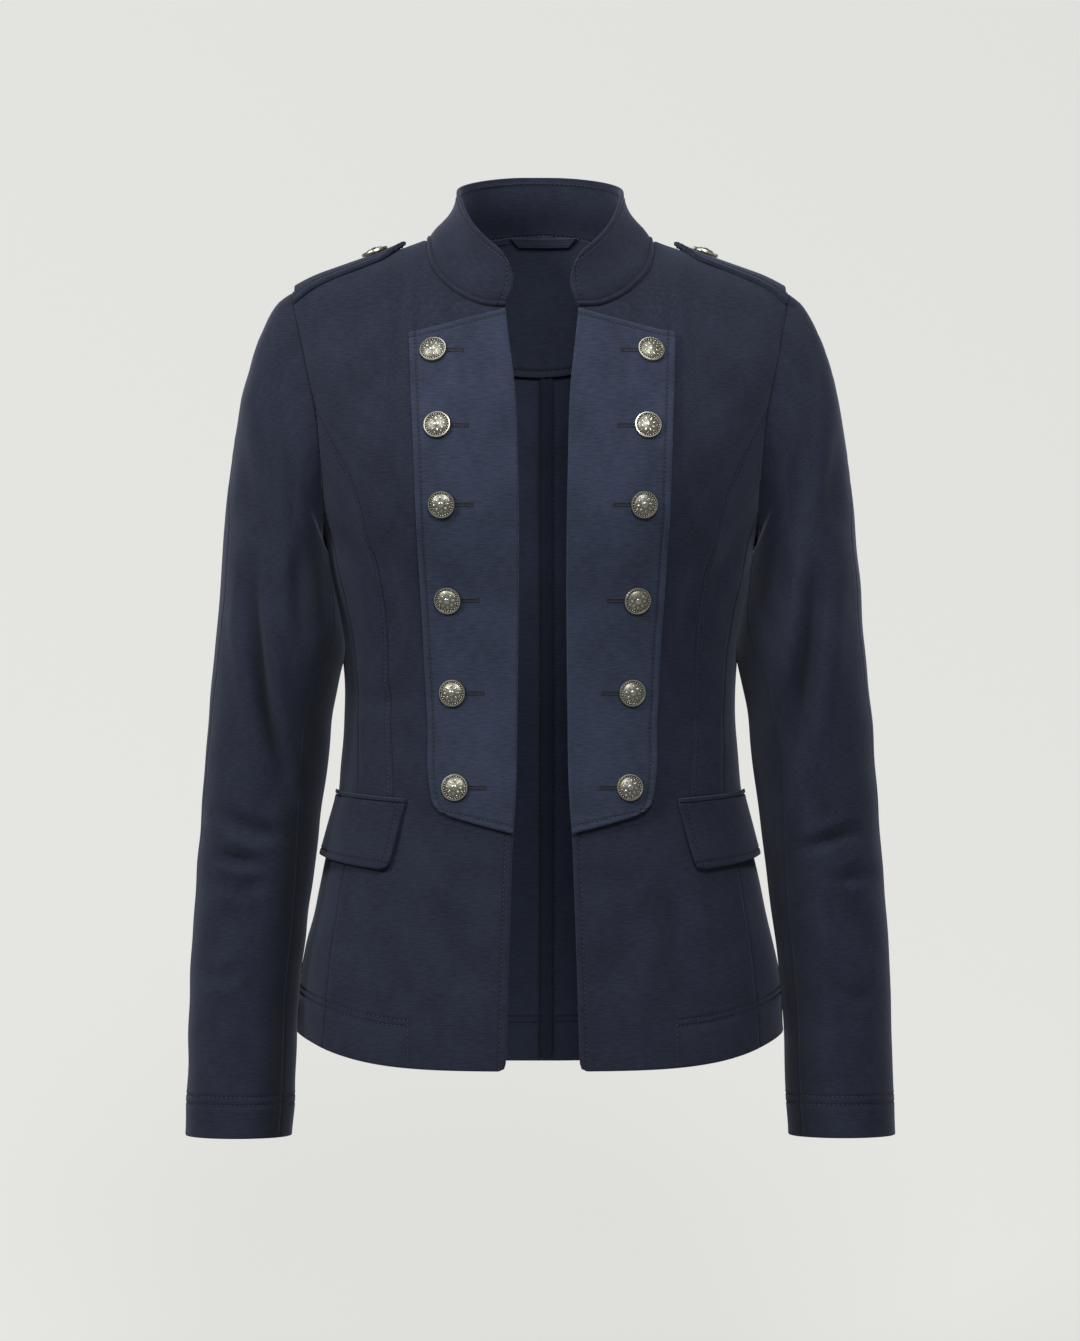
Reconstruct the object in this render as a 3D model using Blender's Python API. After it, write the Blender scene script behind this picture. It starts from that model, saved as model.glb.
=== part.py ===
"""Open stand collar blazer with two rows of buttons, filled out as it is when worn.

The cloth is a set of closed walls, one for each cut piece. They all come from one surface for the body,
which horizontal sections describe, and one row of rings for each sleeve. Lengths in the tables are in
millimetres, and the finished model is in metres. The front faces -Y, and +Z is up. The origin is the
middle of the neck opening, level with the points where the collar meets the shoulder seams.
"""

import math
from collections import namedtuple

import bmesh
import bpy
import numpy as np
from mathutils import Vector

MM = 0.001
SHARP_ANGLE = math.radians(50)

# Cloth walls and the gaps between them
CLOTH = 1.8
SEAM_GAP = 0.3
COLLAR_CLOTH = 2.4
PLACKET_CLOTH = 2.2
PLACKET_LIFT = 0.8
PLACKET_NECK_GAP = 2.0
PLACKET_LOW = -456.0
FACING_CLOTH = 1.2
FACING_GAP = 1.4
LOOP_GAP = 0.7

# Body levels
HEM_LEVEL = -634.0
HEM_SIDE_RISE = 23.5
HEM_BACK_DROP = 8.0
HEM_SHAPE_REACH = 170.0
POCKET_LEVEL = -431.0
CENTRE_BACK_X = 7.0

# Shoulder and neck
NECK_HALF = 87.4
SHOULDER_HALF = 192.0
SHOULDER_SLOPE = 0.352
SHOULDER_END_X = 165.0
SHOULDER_END_DROP = 4.0
NECK_RISE = 24.0
NECK_ROUND = 45.0
SHOULDER_ROUND = 170.0

# Fullness over the bust, which the princess seams shape
BUST_X = 82.0
BUST_LEVEL = -205.0
BUST_FULLNESS = 8.0
BUST_SPREAD = 52.0

# Numbers of wall cells
ROWS_SKIRT = 7
ROWS_BODY = 15
ROWS_YOKE = 7
COLS_NECK = 6
COLS_SHOULDER = 5
COLS_BACK_NECK = 5
COLS_SIDE_FRONT = 4
COLS_UNDER_POCKET = 3
COLS_SIDE_BODY = 6
ROWS_COLLAR = 4
ROWS_FACING = 8
COLS_FACING = 12
ROWS_PLACKET = 21
COLS_PLACKET = 5
ROWS_FLAP = 4
COLS_FLAP = 7
ROWS_STRAP = 6
COLS_STRAP = 8
ROWS_LOOP = 2
COLS_LOOP = 6
BUTTON_SIDES = 12

# Horizontal sections of the body, from the hem to above the neck
Section = namedtuple("Section", "level half_width front back square")
BODY_SECTIONS = [
    Section(-660, 190.0, 126, 122, 2.25),
    Section(-634, 188.0, 125, 121, 2.25),
    Section(-580, 185.6, 120, 115, 2.25),
    Section(-514, 173.0, 113, 107, 2.25),
    Section(-460, 162.0, 107, 99, 2.25),
    Section(-420, 155.0, 104, 93, 2.25),
    Section(-386, 152.0, 102, 89, 2.20),
    Section(-350, 151.0, 101, 87, 2.20),
    Section(-316, 153.0, 103, 90, 2.25),
    Section(-285, 157.2, 107, 95, 2.30),
    Section(-255, 162.2, 112, 101, 2.40),
    Section(-225, 167.2, 117, 107, 2.50),
    Section(-190, 175.0, 118, 111, 2.65),
    Section(-150, 185.5, 113, 112, 2.80),
    Section(-100, 195.0, 103, 107, 2.95),
    Section(-50, 203.5, 87, 98, 3.00),
    Section(20, 205.0, 80, 97, 3.00),
]

# Seams and edges, as half widths at levels
Mark = namedtuple("Mark", "level x")
FRONT_EDGE = [
    Mark(-634, 28.0), Mark(-566, 26.0), Mark(-506, 24.1), Mark(-456, 22.2), Mark(-431, 20.4),
    Mark(-355, 18.9), Mark(-182, 18.9), Mark(-113, 21.5), Mark(-83, 25.0), Mark(-56, 28.0),
]
FRONT_PRINCESS = [
    Mark(-634, 122.0), Mark(-500, 115.0), Mark(-431, 112.5), Mark(-370, 114.7), Mark(-340, 116.0),
    Mark(-299, 118.5), Mark(-273, 121.5), Mark(-242, 128.8), Mark(-209, 137.2), Mark(-185, 145.5),
    Mark(-157, 160.0), Mark(-132, 172.9),
]
SIDE_SEAM = [
    Mark(-634, 167.0), Mark(-549, 160.0), Mark(-486, 151.0), Mark(-431, 140.5), Mark(-378, 139.5),
    Mark(-336, 140.5), Mark(-290, 146.5), Mark(-250, 155.5), Mark(-212, 165.8),
]
BACK_PRINCESS = [
    Mark(-634, 118.0), Mark(-500, 102.0), Mark(-431, 92.0), Mark(-360, 88.0), Mark(-320, 92.0),
    Mark(-260, 108.0), Mark(-215, 128.0), Mark(-180, 150.0), Mark(-150, 173.0),
]
FRONT_ARMHOLE = [
    Mark(-212, 165.8), Mark(-163.6, 169.2), Mark(-132, 172.9), Mark(-113.9, 176.8),
    Mark(-87.7, 182.4), Mark(-59, 188.5), Mark(-41, 192.0),
]
BACK_ARMHOLE = [
    Mark(-150, 173.0), Mark(-120, 175.0), Mark(-90, 180.0), Mark(-60, 187.0), Mark(-41, 192.0),
]
PLACKET_TOP = [Mark(-64, 50.0), Mark(-71.5, 78.0)]
PLACKET_EDGE = [
    Mark(-441, 76.0), Mark(-434.5, 81.5), Mark(-425, 83.8), Mark(-373, 86.0), Mark(-296, 89.8),
    Mark(-247, 93.0), Mark(-180, 96.2), Mark(-127, 98.8), Mark(-77, 100.8),
]

# The armhole under the arm, as turns in degrees from the centre front
Turn = namedtuple("Turn", "degrees level")
UNDERARM = [
    Turn(84.0, -226), Turn(90.0, -231), Turn(97.0, -229), Turn(104.0, -214), Turn(110.0, -188),
]

# The neck seam from the front edge to the centre back, and the collar's top edge above it
NeckPoint = namedtuple("NeckPoint", "x level")
FRONT_NECK = [
    NeckPoint(28, -56), NeckPoint(45, -54.5), NeckPoint(60, -48), NeckPoint(73, -38),
    NeckPoint(82, -27), NeckPoint(87, -10),
]
BACK_NECK = [
    NeckPoint(80, -0.7), NeckPoint(60, -2.0), NeckPoint(40, 1.0), NeckPoint(20, 4.2),
]
BACK_NECK_CENTRE = 5.7
CollarTop = namedtuple("CollarTop", "x y z")
COLLAR_TOP = [
    CollarTop(25, -73, -21), CollarTop(30, -71, -13), CollarTop(39, -64, -4.5),
    CollarTop(50, -50, 8), CollarTop(57, -33, 21), CollarTop(60.5, -16, 32),
    CollarTop(62, 0, 38), CollarTop(60.5, 15, 42.5), CollarTop(52, 30, 47),
    CollarTop(37, 41, 50.5), CollarTop(19, 47, 52.5), CollarTop(0, 50, 53),
]
COLLAR_HOLLOW = 5.5
COLLAR_FRONT_BULGE = 5.0
COLLAR_LIFT = 0.3

# Sleeve rings, from the armhole to the cuff, with the turns of the two lengthways seams
Ring = namedtuple("Ring", "outer_x outer_z inner_x inner_z mid_y half_depth elbow forearm blend")
SLEEVE_RINGS = [
    Ring(192.0, -41.0, 166.0, -231.0, 0, 61, -52, 158, 0.00),
    Ring(203.5, -50.5, 166.4, -233.5, 0, 62, -38, 158, 0.05),
    Ring(215.7, -73.4, 166.4, -236.0, 0, 62, -22, 158, 0.18),
    Ring(224.2, -96.6, 166.3, -239.0, 0, 62, -6, 157, 0.35),
    Ring(231.8, -124.0, 166.0, -242.5, 0, 62, 8, 156, 0.55),
    Ring(237.2, -154.6, 165.5, -247.0, 0, 61, 18, 155, 0.75),
    Ring(240.8, -188.0, 164.4, -253.0, -2, 60, 24, 154, 0.90),
    Ring(243.5, -222.0, 162.4, -262.0, -5, 59, 27, 153, 1.00),
    Ring(245.8, -254.0, 158.3, -275.0, -10, 58, 27, 152, 1.00),
    Ring(247.8, -284.0, 154.7, -293.0, -15, 56.5, 26, 148, 1.00),
    Ring(249.8, -312.0, 152.4, -314.0, -18, 55, 24, 138, 1.00),
    Ring(252.6, -338.0, 155.0, -338.0, -18, 53.5, 23, 130, 1.00),
    Ring(255.0, -364.0, 159.4, -364.0, -17, 52, 21, 128, 1.00),
    Ring(257.0, -390.0, 162.2, -390.0, -16, 50.5, 19, 125, 1.00),
    Ring(259.2, -416.0, 165.0, -416.0, -15, 49.5, 17, 126, 1.00),
    Ring(261.2, -445.0, 169.0, -445.0, -15, 48.5, 15, 130, 1.00),
    Ring(263.2, -472.0, 172.4, -472.0, -15, 47.5, 13, 133, 1.00),
    Ring(265.2, -500.0, 175.8, -500.0, -16, 46, 11, 137, 1.00),
    Ring(267.2, -528.0, 179.4, -528.0, -17, 45, 10, 139, 1.00),
    Ring(268.8, -556.0, 182.8, -556.0, -19, 44, 9, 140, 1.00),
    Ring(269.8, -584.0, 185.6, -584.0, -21, 43, 8, 140, 1.00),
    Ring(270.3, -612.0, 187.2, -612.0, -23, 42, 7, 141, 1.00),
    Ring(270.8, -638.0, 187.9, -638.0, -25, 41, 6, 141, 1.00),
    Ring(271.8, -662.0, 188.8, -662.0, -26, 40.5, 5, 141, 1.00),
    Ring(272.6, -689.0, 190.6, -689.0, -27, 40.5, 5, 141, 1.00),
]
ELBOW_ROWS_BEHIND_SHOULDER = 4

# Pocket flap and the welt above it, as turns and levels of their corners
FLAP_INNER_TOP = (102.5, -433.4)
FLAP_INNER_BOTTOM = (115.5, -484.6)
FLAP_OUTER_TURN = 84.0
FLAP_OUTER_TOP = -427.4
FLAP_OUTER_BOTTOM = -475.0
FLAP_CLOTH = 2.2
FLAP_LIFT_TOP = 0.6
FLAP_LIFT_BOTTOM = 1.4
FLAP_CORNER_LIFT = 2.6
WELT_HEIGHT = 3.4
WELT_CLOTH = 2.6

# Shoulder strap
STRAP_OUTER_X = 189.0
STRAP_TIP_X = 107.5
STRAP_POINT = 15.0
STRAP_HALF_WIDTH = 19.5
STRAP_CLOTH = 3.0
STRAP_LIFT = 0.6
STRAP_TIP_RISE = 1.6
STRAP_TIP_NARROWING = 0.45
STRAP_TIP_CURVE = 1.5
STRAP_TIP_BOW = 5.25
STRAP_PASSES = 4

# Back neck facing and hanger loop, inside the back
FACING_HALF = 75.0
FACING_DROP = -100.0
FACING_CURVE = 0.0034
FACING_TOP_GAP = 1.2
FACING_CORNER_DROP = 10.0
LOOP_CENTRE_X = 4.0
LOOP_HALF_TOP = 29.5
LOOP_HALF_BOTTOM = 21.5
LOOP_TOP = 1.5
LOOP_BOTTOM = -7.0
LOOP_CLOTH = 1.8

# Buttons
Button = namedtuple("Button", "x level")
FRONT_BUTTONS = [
    Button(81.9, -91.0), Button(78.9, -148.3), Button(75.6, -207.3),
    Button(70.8, -278.8), Button(67.0, -349.4), Button(65.2, -421.2),
]
STRAP_BUTTON_X = 126.0
BUTTON_RADIUS = 10.4
BUTTON_PROFILE = [(0.87, 0.0), (1.0, 1.0), (0.96, 2.3), (0.78, 1.8), (0.42, 3.9)]
BUTTON_TOP = 4.7
BUTTON_GAP = 0.4
STRAP_BUTTON_GAP = 0.6

# Colours
NAVY = (0.028, 0.033, 0.053, 1.0)
NAVY_INSIDE = (0.022, 0.026, 0.042, 1.0)
PEWTER = (0.30, 0.29, 0.25, 1.0)


def smooth_lookup(knots, values, at):
    """The value at one place on a smooth curve through a table of increasing knots."""
    at = min(max(at, knots[0]), knots[-1])
    k = min(int(np.searchsorted(knots, at, side="right")) - 1, len(knots) - 2)
    slopes = np.gradient(values, knots)
    width = knots[k + 1] - knots[k]
    t = (at - knots[k]) / width
    return (
        (2 * t**3 - 3 * t**2 + 1) * values[k]
        + (t**3 - 2 * t**2 + t) * width * slopes[k]
        + (3 * t**2 - 2 * t**3) * values[k + 1]
        + (t**3 - t**2) * width * slopes[k + 1]
    )


SECTION_LEVELS = np.array([s.level for s in BODY_SECTIONS], float)
SECTION_COLUMNS = {
    name: np.array([getattr(s, name) for s in BODY_SECTIONS], float)
    for name in ("half_width", "front", "back", "square")
}


def section(name, level):
    """One measure of the body at a level."""
    return smooth_lookup(SECTION_LEVELS, SECTION_COLUMNS[name], level)


def seam_x(marks, level):
    """The half width of a seam or edge at a level."""
    return smooth_lookup([m.level for m in marks], [m.x for m in marks], level)


def ridge_level(x):
    """The height of the shoulder's ridge at a distance from the middle."""
    x = abs(x)
    if x >= NECK_HALF:
        past_end = max(0.0, (x - SHOULDER_END_X) / (SHOULDER_HALF - SHOULDER_END_X))
        return -SHOULDER_SLOPE * (x - NECK_HALF) - SHOULDER_END_DROP * past_end**2
    soft = NECK_HALF + math.hypot(x, NECK_ROUND) - math.hypot(NECK_HALF, NECK_ROUND)
    return SHOULDER_SLOPE * (NECK_HALF - soft) + NECK_RISE * (1 - (x / NECK_HALF) ** 2) ** 2


def closing(x, level):
    """How far the body has opened below the shoulder's ridge, from 0 on it to 1."""
    below = min(max((ridge_level(x) - level) / SHOULDER_ROUND, 0.0), 1.0)
    return math.sqrt(1 - (1 - below) ** 2)


def bust(x, level):
    """The extra depth over the bust."""
    away = ((abs(x) - BUST_X) ** 2 + (level - BUST_LEVEL) ** 2) / BUST_SPREAD**2
    return BUST_FULLNESS * math.exp(-away)


def hem_shift(turn, level):
    """How much a place near the hem is raised at the side and lowered at the back."""
    fade = max(0.0, 1 - (level - HEM_LEVEL) / HEM_SHAPE_REACH) ** 2
    rise = HEM_SIDE_RISE * math.sin(turn) ** 4
    if turn > math.pi / 2:
        rise -= HEM_BACK_DROP * math.cos(turn) ** 2
    return rise * fade


def body_point(turn, level):
    """A point on the body's outer surface: turn is 0 at the centre front and pi at the centre back."""
    square = section("square", level)
    around, along = math.sin(turn), abs(math.cos(turn))
    x = math.copysign(abs(around) ** (2 / square), around) * section("half_width", level)
    depth = along ** (2 / square) * closing(x, level)
    if turn < math.pi / 2:
        y = -depth * (section("front", level) + bust(x, level))
    else:
        y = depth * section("back", level)
    return np.array([x, y, level + hem_shift(turn, level)])


def turn_at(x, level, behind=False):
    """The turn of the point on the front, or on the back, with this half width at a level."""
    share = min(abs(x) / section("half_width", level), 1.0)
    turn = math.copysign(math.asin(share ** (section("square", level) / 2)), x)
    return math.pi - turn if behind else turn


def body_normal(turn, level, step=0.004):
    """The outward direction of the body's surface at a place."""
    across = body_point(turn + step, level) - body_point(turn - step, level)
    up = body_point(turn, level + 1.0) - body_point(turn, level - 1.0)
    normal = np.cross(across, up)
    return normal / np.linalg.norm(normal)


def on_body(turn, level, lift):
    """A point held a distance off the body's outer surface."""
    return body_point(turn, level) + lift * body_normal(turn, level)


def resample(points, cells):
    """Points at even distances along a smooth curve through a few points."""
    points = np.array(points, float)
    knots = np.concatenate([[0], np.cumsum(np.linalg.norm(np.diff(points, axis=0), axis=1))])
    places = np.linspace(0, knots[-1], cells + 1)
    return np.array([[smooth_lookup(knots, c, p) for c in points.T] for p in places])


def fill_between(bottom, top, left, right):
    """The grid of places inside four edges; bottom and top run from left to right, the others upwards."""
    cols, rows = len(bottom), len(left)
    u = np.linspace(0, 1, cols)[None, :, None]
    v = np.linspace(0, 1, rows)[:, None, None]
    bottom, top = np.array(bottom)[None], np.array(top)[None]
    left, right = np.array(left)[:, None], np.array(right)[:, None]
    corners = (
        (1 - u) * (1 - v) * bottom[:, :1] + u * (1 - v) * bottom[:, -1:]
        + (1 - u) * v * top[:, :1] + u * v * top[:, -1:]
    )
    return (1 - u) * left + u * right + (1 - v) * bottom + v * top - corners


def seam_line(marks, levels, behind=False):
    """Places along a seam at a row of levels."""
    return [(turn_at(seam_x(marks, z), z, behind), z) for z in levels]


def straight(start, end, cells):
    """Evenly spaced places between two places."""
    return np.linspace(start, end, cells + 1)


def yoke_levels(low, high):
    """Levels that close up towards the shoulder's ridge, where the surface rounds over."""
    shares = np.sin(np.linspace(0, math.pi / 2, ROWS_YOKE + 1))
    return low + (high - low) * shares


def to_sheet(places, lift=0.0):
    """The body's points and outward directions at a grid of places, held a distance off the surface."""
    normals = np.array([[body_normal(turn, level) for turn, level in row] for row in places])
    points = np.array([[body_point(turn, level) for turn, level in row] for row in places])
    return points + lift * normals, normals


def grid_normals(points):
    """The outward directions of a grid of points, taken from its own cells."""
    normals = np.cross(np.gradient(points, axis=1), np.gradient(points, axis=0))
    return normals / np.linalg.norm(normals, axis=2)[:, :, None]


def cloth_wall(points, normals, faces, thickness, seams=()):
    """A closed wall from an open sheet of outer points: its edges step back from their seams by half a gap.

    seams lists (points, direction) for seams where two walls meet at an angle: the direction is the one
    towards the other wall, and the thickness never leans over the seam. Returns points and faces.
    """
    normals = np.array(normals, float)
    sides, edge_moves = {}, {}
    for face in faces:
        a, b, c, d = (points[i] for i in face)
        normal = np.cross(c - a, d - b)
        for k in range(4):
            sides[(face[k], face[(k + 1) % 4])] = normal / np.linalg.norm(normal)
    border = [edge for edge in sides if (edge[1], edge[0]) not in sides]
    for start, end in border:
        inward = np.cross(sides[(start, end)], points[end] - points[start])
        inward /= np.linalg.norm(inward)
        for vertex in (start, end):
            edge_moves.setdefault(vertex, []).append(inward)
    steps = {
        vertex: sum(moves) / max(1 + float(np.dot(moves[0], moves[-1])), 0.25)
        for vertex, moves in edge_moves.items()
    }
    for indices, across in seams:
        for vertex in indices:
            steps[vertex] = steps[vertex] - np.dot(steps[vertex], across) * across - across
            normals[vertex] += max(0.0, -np.dot(normals[vertex], across)) * across
            normals[vertex] /= np.linalg.norm(normals[vertex])
    outer = np.array(points, float)
    for vertex, step in steps.items():
        outer[vertex] += step * SEAM_GAP / 2
    inner = outer - normals * thickness
    count = len(points)
    wall_faces = [tuple(f) for f in faces]
    wall_faces += [tuple(i + count for i in reversed(f)) for f in faces]
    wall_faces += [(end, start, start + count, end + count) for start, end in border]
    return np.concatenate([outer, inner]), wall_faces


def grid_faces(rows, cols, missing=None):
    """The faces of a grid of points, apart from the cells that missing(row, col) leaves out."""
    return [
        (r * cols + c, r * cols + c + 1, (r + 1) * cols + c + 1, (r + 1) * cols + c)
        for r in range(rows - 1)
        for c in range(cols - 1)
        if missing is None or not missing(r, c)
    ]


def cloth_material(name, colour):
    """A plain woven or knitted cloth finish."""
    material = bpy.data.materials.new(name)
    material.use_nodes = True
    shader = material.node_tree.nodes["Principled BSDF"]
    shader.inputs["Base Color"].default_value = colour
    shader.inputs["Roughness"].default_value = 0.85
    shader.inputs["Metallic"].default_value = 0.0
    return material


def metal_material(name, colour):
    """A dull oxidised metal finish."""
    material = cloth_material(name, colour)
    shader = material.node_tree.nodes["Principled BSDF"]
    shader.inputs["Roughness"].default_value = 0.38
    shader.inputs["Metallic"].default_value = 1.0
    return material


def add_object(name, points, faces, material):
    """One named object from points in millimetres, with its faces pointing out and unused points left out."""
    used = sorted({i for face in faces for i in face})
    order = {old: new for new, old in enumerate(used)}
    mesh = bpy.data.meshes.new(name)
    mesh.from_pydata(
        [Vector(points[i]) * MM for i in used], [], [[order[i] for i in face] for face in faces]
    )
    body = bmesh.new()
    body.from_mesh(mesh)
    if body.calc_volume(signed=True) < 0:
        bmesh.ops.reverse_faces(body, faces=body.faces)
    body.to_mesh(mesh)
    body.free()
    mesh.shade_smooth()
    mesh.set_sharp_from_angle(angle=SHARP_ANGLE)
    mesh.materials.append(material)
    piece = bpy.data.objects.new(name, mesh)
    bpy.context.scene.collection.objects.link(piece)
    return piece


def mirrored(points, side):
    """Points of the +X half, carried to the half that side names."""
    return np.array(points, float) * np.array([side, 1.0, 1.0])


def add_sheet_wall(name, sheet, side, thickness, colour, missing=None, seams=()):
    """A wall from a grid of outer points and directions of the +X half, on the half that side names."""
    points, normals = sheet
    rows, cols = points.shape[:2]
    wall = cloth_wall(
        points.reshape(-1, 3), normals.reshape(-1, 3), grid_faces(rows, cols, missing), thickness, seams
    )
    material = cloth_material(name + "_cloth", colour)
    return add_object(name, mirrored(wall[0], side), wall[1], material)


def side_name(side):
    """The wearer's side of a half: the wearer's left is at +X."""
    return "left" if side > 0 else "right"


def shoulder_edge(cells):
    """Places along the shoulder's ridge, from the neck to the armhole."""
    xs = np.linspace(NECK_HALF, SHOULDER_HALF, cells + 1)
    return [(x, ridge_level(x)) for x in xs]


def armhole_levels(low):
    """The levels of the armhole's places between a seam and the shoulder's point."""
    return yoke_levels(low, ridge_level(SHOULDER_HALF))


TO_BACK = np.array([0.0, 1.0, 0.0])
TO_SLEEVE = np.array([1.0, 0.0, 0.0])
FRONT_JOIN = FRONT_PRINCESS[-1].level
BACK_JOIN = BACK_PRINCESS[-1].level
UNDERARM_FRONT = SIDE_SEAM[-1].level
SKIRT_LEVELS = np.linspace(HEM_LEVEL, POCKET_LEVEL, ROWS_SKIRT + 1)
FRONT_LEVELS = np.linspace(POCKET_LEVEL, FRONT_JOIN, ROWS_BODY + 1)
SIDE_LEVELS = np.linspace(POCKET_LEVEL, UNDERARM_FRONT, ROWS_BODY + 1)
BACK_LEVELS = np.linspace(POCKET_LEVEL, BACK_JOIN, ROWS_BODY + 1)


def front_panel_grid():
    """The front, from its edge to the princess seam, and on to the side seam below the pocket."""
    low_edge, low_seam = (
        seam_line(marks, SKIRT_LEVELS) for marks in (FRONT_EDGE, FRONT_PRINCESS)
    )
    mid_edge = seam_line(FRONT_EDGE, FRONT_LEVELS)
    mid_seam = seam_line(FRONT_PRINCESS, FRONT_LEVELS)
    cols = COLS_NECK + COLS_SHOULDER
    neck = [(p.x, p.level) for p in FRONT_NECK] + [(NECK_HALF, 0.0)]
    neck = resample(neck, COLS_NECK)
    top = [(turn_at(x, z), z) for x, z in [*neck, *shoulder_edge(COLS_SHOULDER)[1:]]]
    top_edge = seam_line(FRONT_EDGE, np.linspace(FRONT_JOIN, FRONT_NECK[0].level, ROWS_YOKE + 1))
    top_seam = seam_line(FRONT_ARMHOLE, armhole_levels(FRONT_JOIN))
    skirt = fill_between(
        straight(low_edge[0], low_seam[0], cols), straight(low_edge[-1], low_seam[-1], cols),
        low_edge, low_seam,
    )
    middle = fill_between(
        skirt[-1], straight(mid_edge[-1], mid_seam[-1], cols), mid_edge, mid_seam
    )
    yoke = fill_between(middle[-1], top, top_edge, top_seam)
    main = np.concatenate([skirt, middle[1:], yoke[1:]])
    side_edge = seam_line(SIDE_SEAM, SKIRT_LEVELS)
    under_pocket = fill_between(
        straight(low_seam[0], side_edge[0], COLS_UNDER_POCKET),
        straight(low_seam[-1], side_edge[-1], COLS_UNDER_POCKET),
        low_seam, side_edge,
    )
    extension = np.repeat(main[:, -1:], COLS_UNDER_POCKET, axis=1)
    extension[: ROWS_SKIRT + 1] = under_pocket[:, 1:]
    return np.concatenate([main, extension], axis=1)


def side_front_grid():
    """The small side front between the princess seam, the armhole and the side seam, above the pocket."""
    seam = seam_line(FRONT_PRINCESS, FRONT_LEVELS)
    side_edge = seam_line(SIDE_SEAM, SIDE_LEVELS)
    armhole = seam_line(FRONT_ARMHOLE, np.linspace(FRONT_JOIN, UNDERARM_FRONT, COLS_SIDE_FRONT + 1))
    bottom = straight(seam[0], side_edge[0], COLS_SIDE_FRONT)
    return fill_between(bottom, armhole, seam, side_edge)


def side_body_grid():
    """The side body, from the side seam round to the back princess seam."""
    low_front = seam_line(SIDE_SEAM, SKIRT_LEVELS)
    low_back = seam_line(BACK_PRINCESS, SKIRT_LEVELS, True)
    front = seam_line(SIDE_SEAM, SIDE_LEVELS)
    back = seam_line(BACK_PRINCESS, BACK_LEVELS, True)
    under = [(math.degrees(front[-1][0]), UNDERARM_FRONT), *UNDERARM]
    under.append((math.degrees(back[-1][0]), BACK_JOIN))
    armhole = [(math.radians(t), z) for t, z in resample(under, COLS_SIDE_BODY)]
    armhole[0], armhole[-1] = front[-1], back[-1]
    skirt = fill_between(
        straight(low_front[0], low_back[0], COLS_SIDE_BODY),
        straight(low_front[-1], low_back[-1], COLS_SIDE_BODY),
        low_front, low_back,
    )
    body = fill_between(skirt[-1], armhole, front, back)
    return np.concatenate([skirt, body[1:]])


def back_panel_grid(side):
    """One back, from the back princess seam to the centre back seam, which lies a little off the middle."""
    centre_x = CENTRE_BACK_X * side
    neck_level = back_neck_level(centre_x)
    cols = COLS_SHOULDER + COLS_BACK_NECK
    low_seam = seam_line(BACK_PRINCESS, SKIRT_LEVELS, True)
    seam = seam_line(BACK_PRINCESS, BACK_LEVELS, True)

    def centre(levels):
        return [(turn_at(centre_x, z, True), z) for z in levels]

    low_centre, mid_centre = centre(SKIRT_LEVELS), centre(BACK_LEVELS)
    skirt = fill_between(
        straight(low_seam[0], low_centre[0], cols), straight(low_seam[-1], low_centre[-1], cols),
        low_seam, low_centre,
    )
    middle = fill_between(
        skirt[-1], straight(seam[-1], mid_centre[-1], cols), seam, mid_centre
    )
    shoulder = shoulder_edge(COLS_SHOULDER)[::-1]
    neck = [(NECK_HALF, 0.0)] + [(p.x, p.level) for p in BACK_NECK]
    neck = resample([*neck, (centre_x, neck_level)], COLS_BACK_NECK)
    top = [(turn_at(x, z, True), z) for x, z in [*shoulder, *neck[1:]]]
    armhole = seam_line(BACK_ARMHOLE, armhole_levels(BACK_JOIN), True)
    top_centre = centre(np.linspace(BACK_JOIN, neck_level, ROWS_YOKE + 1))
    yoke = fill_between(middle[-1], top, armhole, top_centre)
    return np.concatenate([skirt, middle[1:], yoke[1:]])


def back_neck_level(x):
    """The height of the back neck seam near the middle."""
    flat = 1 - (x / BACK_NECK[-1].x) ** 2
    return BACK_NECK[-1].level + (BACK_NECK_CENTRE - BACK_NECK[-1].level) * flat


def build_body(side):
    """The body's cut pieces on one half. Returns the armhole's points, from the shoulder to the front."""
    name = side_name(side)
    front, front_out = to_sheet(front_panel_grid())
    rows, cols = front.shape[:2]
    seam_col = COLS_NECK + COLS_SHOULDER
    first_yoke = ROWS_SKIRT + ROWS_BODY
    ridge = [(rows - 1) * cols + col for col in range(COLS_NECK, seam_col + 1)]
    armhole = [row * cols + seam_col for row in range(first_yoke, rows)]
    add_sheet_wall(
        f"front_{name}", (front, front_out), side, CLOTH, NAVY,
        missing=lambda r, c: c >= seam_col and r >= ROWS_SKIRT,
        seams=[(ridge, TO_BACK), (armhole, TO_SLEEVE)],
    )

    side_front = to_sheet(side_front_grid())
    rows_sf, cols_sf = side_front[0].shape[:2]
    armhole = [(rows_sf - 1) * cols_sf + col for col in range(cols_sf)]
    add_sheet_wall(f"side_front_{name}", side_front, side, CLOTH, NAVY, seams=[(armhole, TO_SLEEVE)])

    side_body = to_sheet(side_body_grid())
    rows_sb, cols_sb = side_body[0].shape[:2]
    armhole = [(rows_sb - 1) * cols_sb + col for col in range(cols_sb)]
    add_sheet_wall(f"side_body_{name}", side_body, side, CLOTH, NAVY, seams=[(armhole, TO_SLEEVE)])

    back, back_out = to_sheet(back_panel_grid(side))
    rows_b, cols_b = back.shape[:2]
    ridge = [(rows_b - 1) * cols_b + col for col in range(COLS_SHOULDER + 1)]
    armhole = [row * cols_b for row in range(first_yoke, rows_b)]
    add_sheet_wall(
        f"back_{name}", (back, back_out), side, CLOTH, NAVY,
        seams=[(ridge, -TO_BACK), (armhole, TO_SLEEVE)],
    )

    ring = [front[row, seam_col] for row in range(rows - 1, first_yoke, -1)]
    ring += list(side_front[0][-1])
    ring += list(side_body[0][-1])[1:]
    ring += [back[row, 0] for row in range(first_yoke + 1, rows_b - 1)]
    return np.array(ring)


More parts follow.
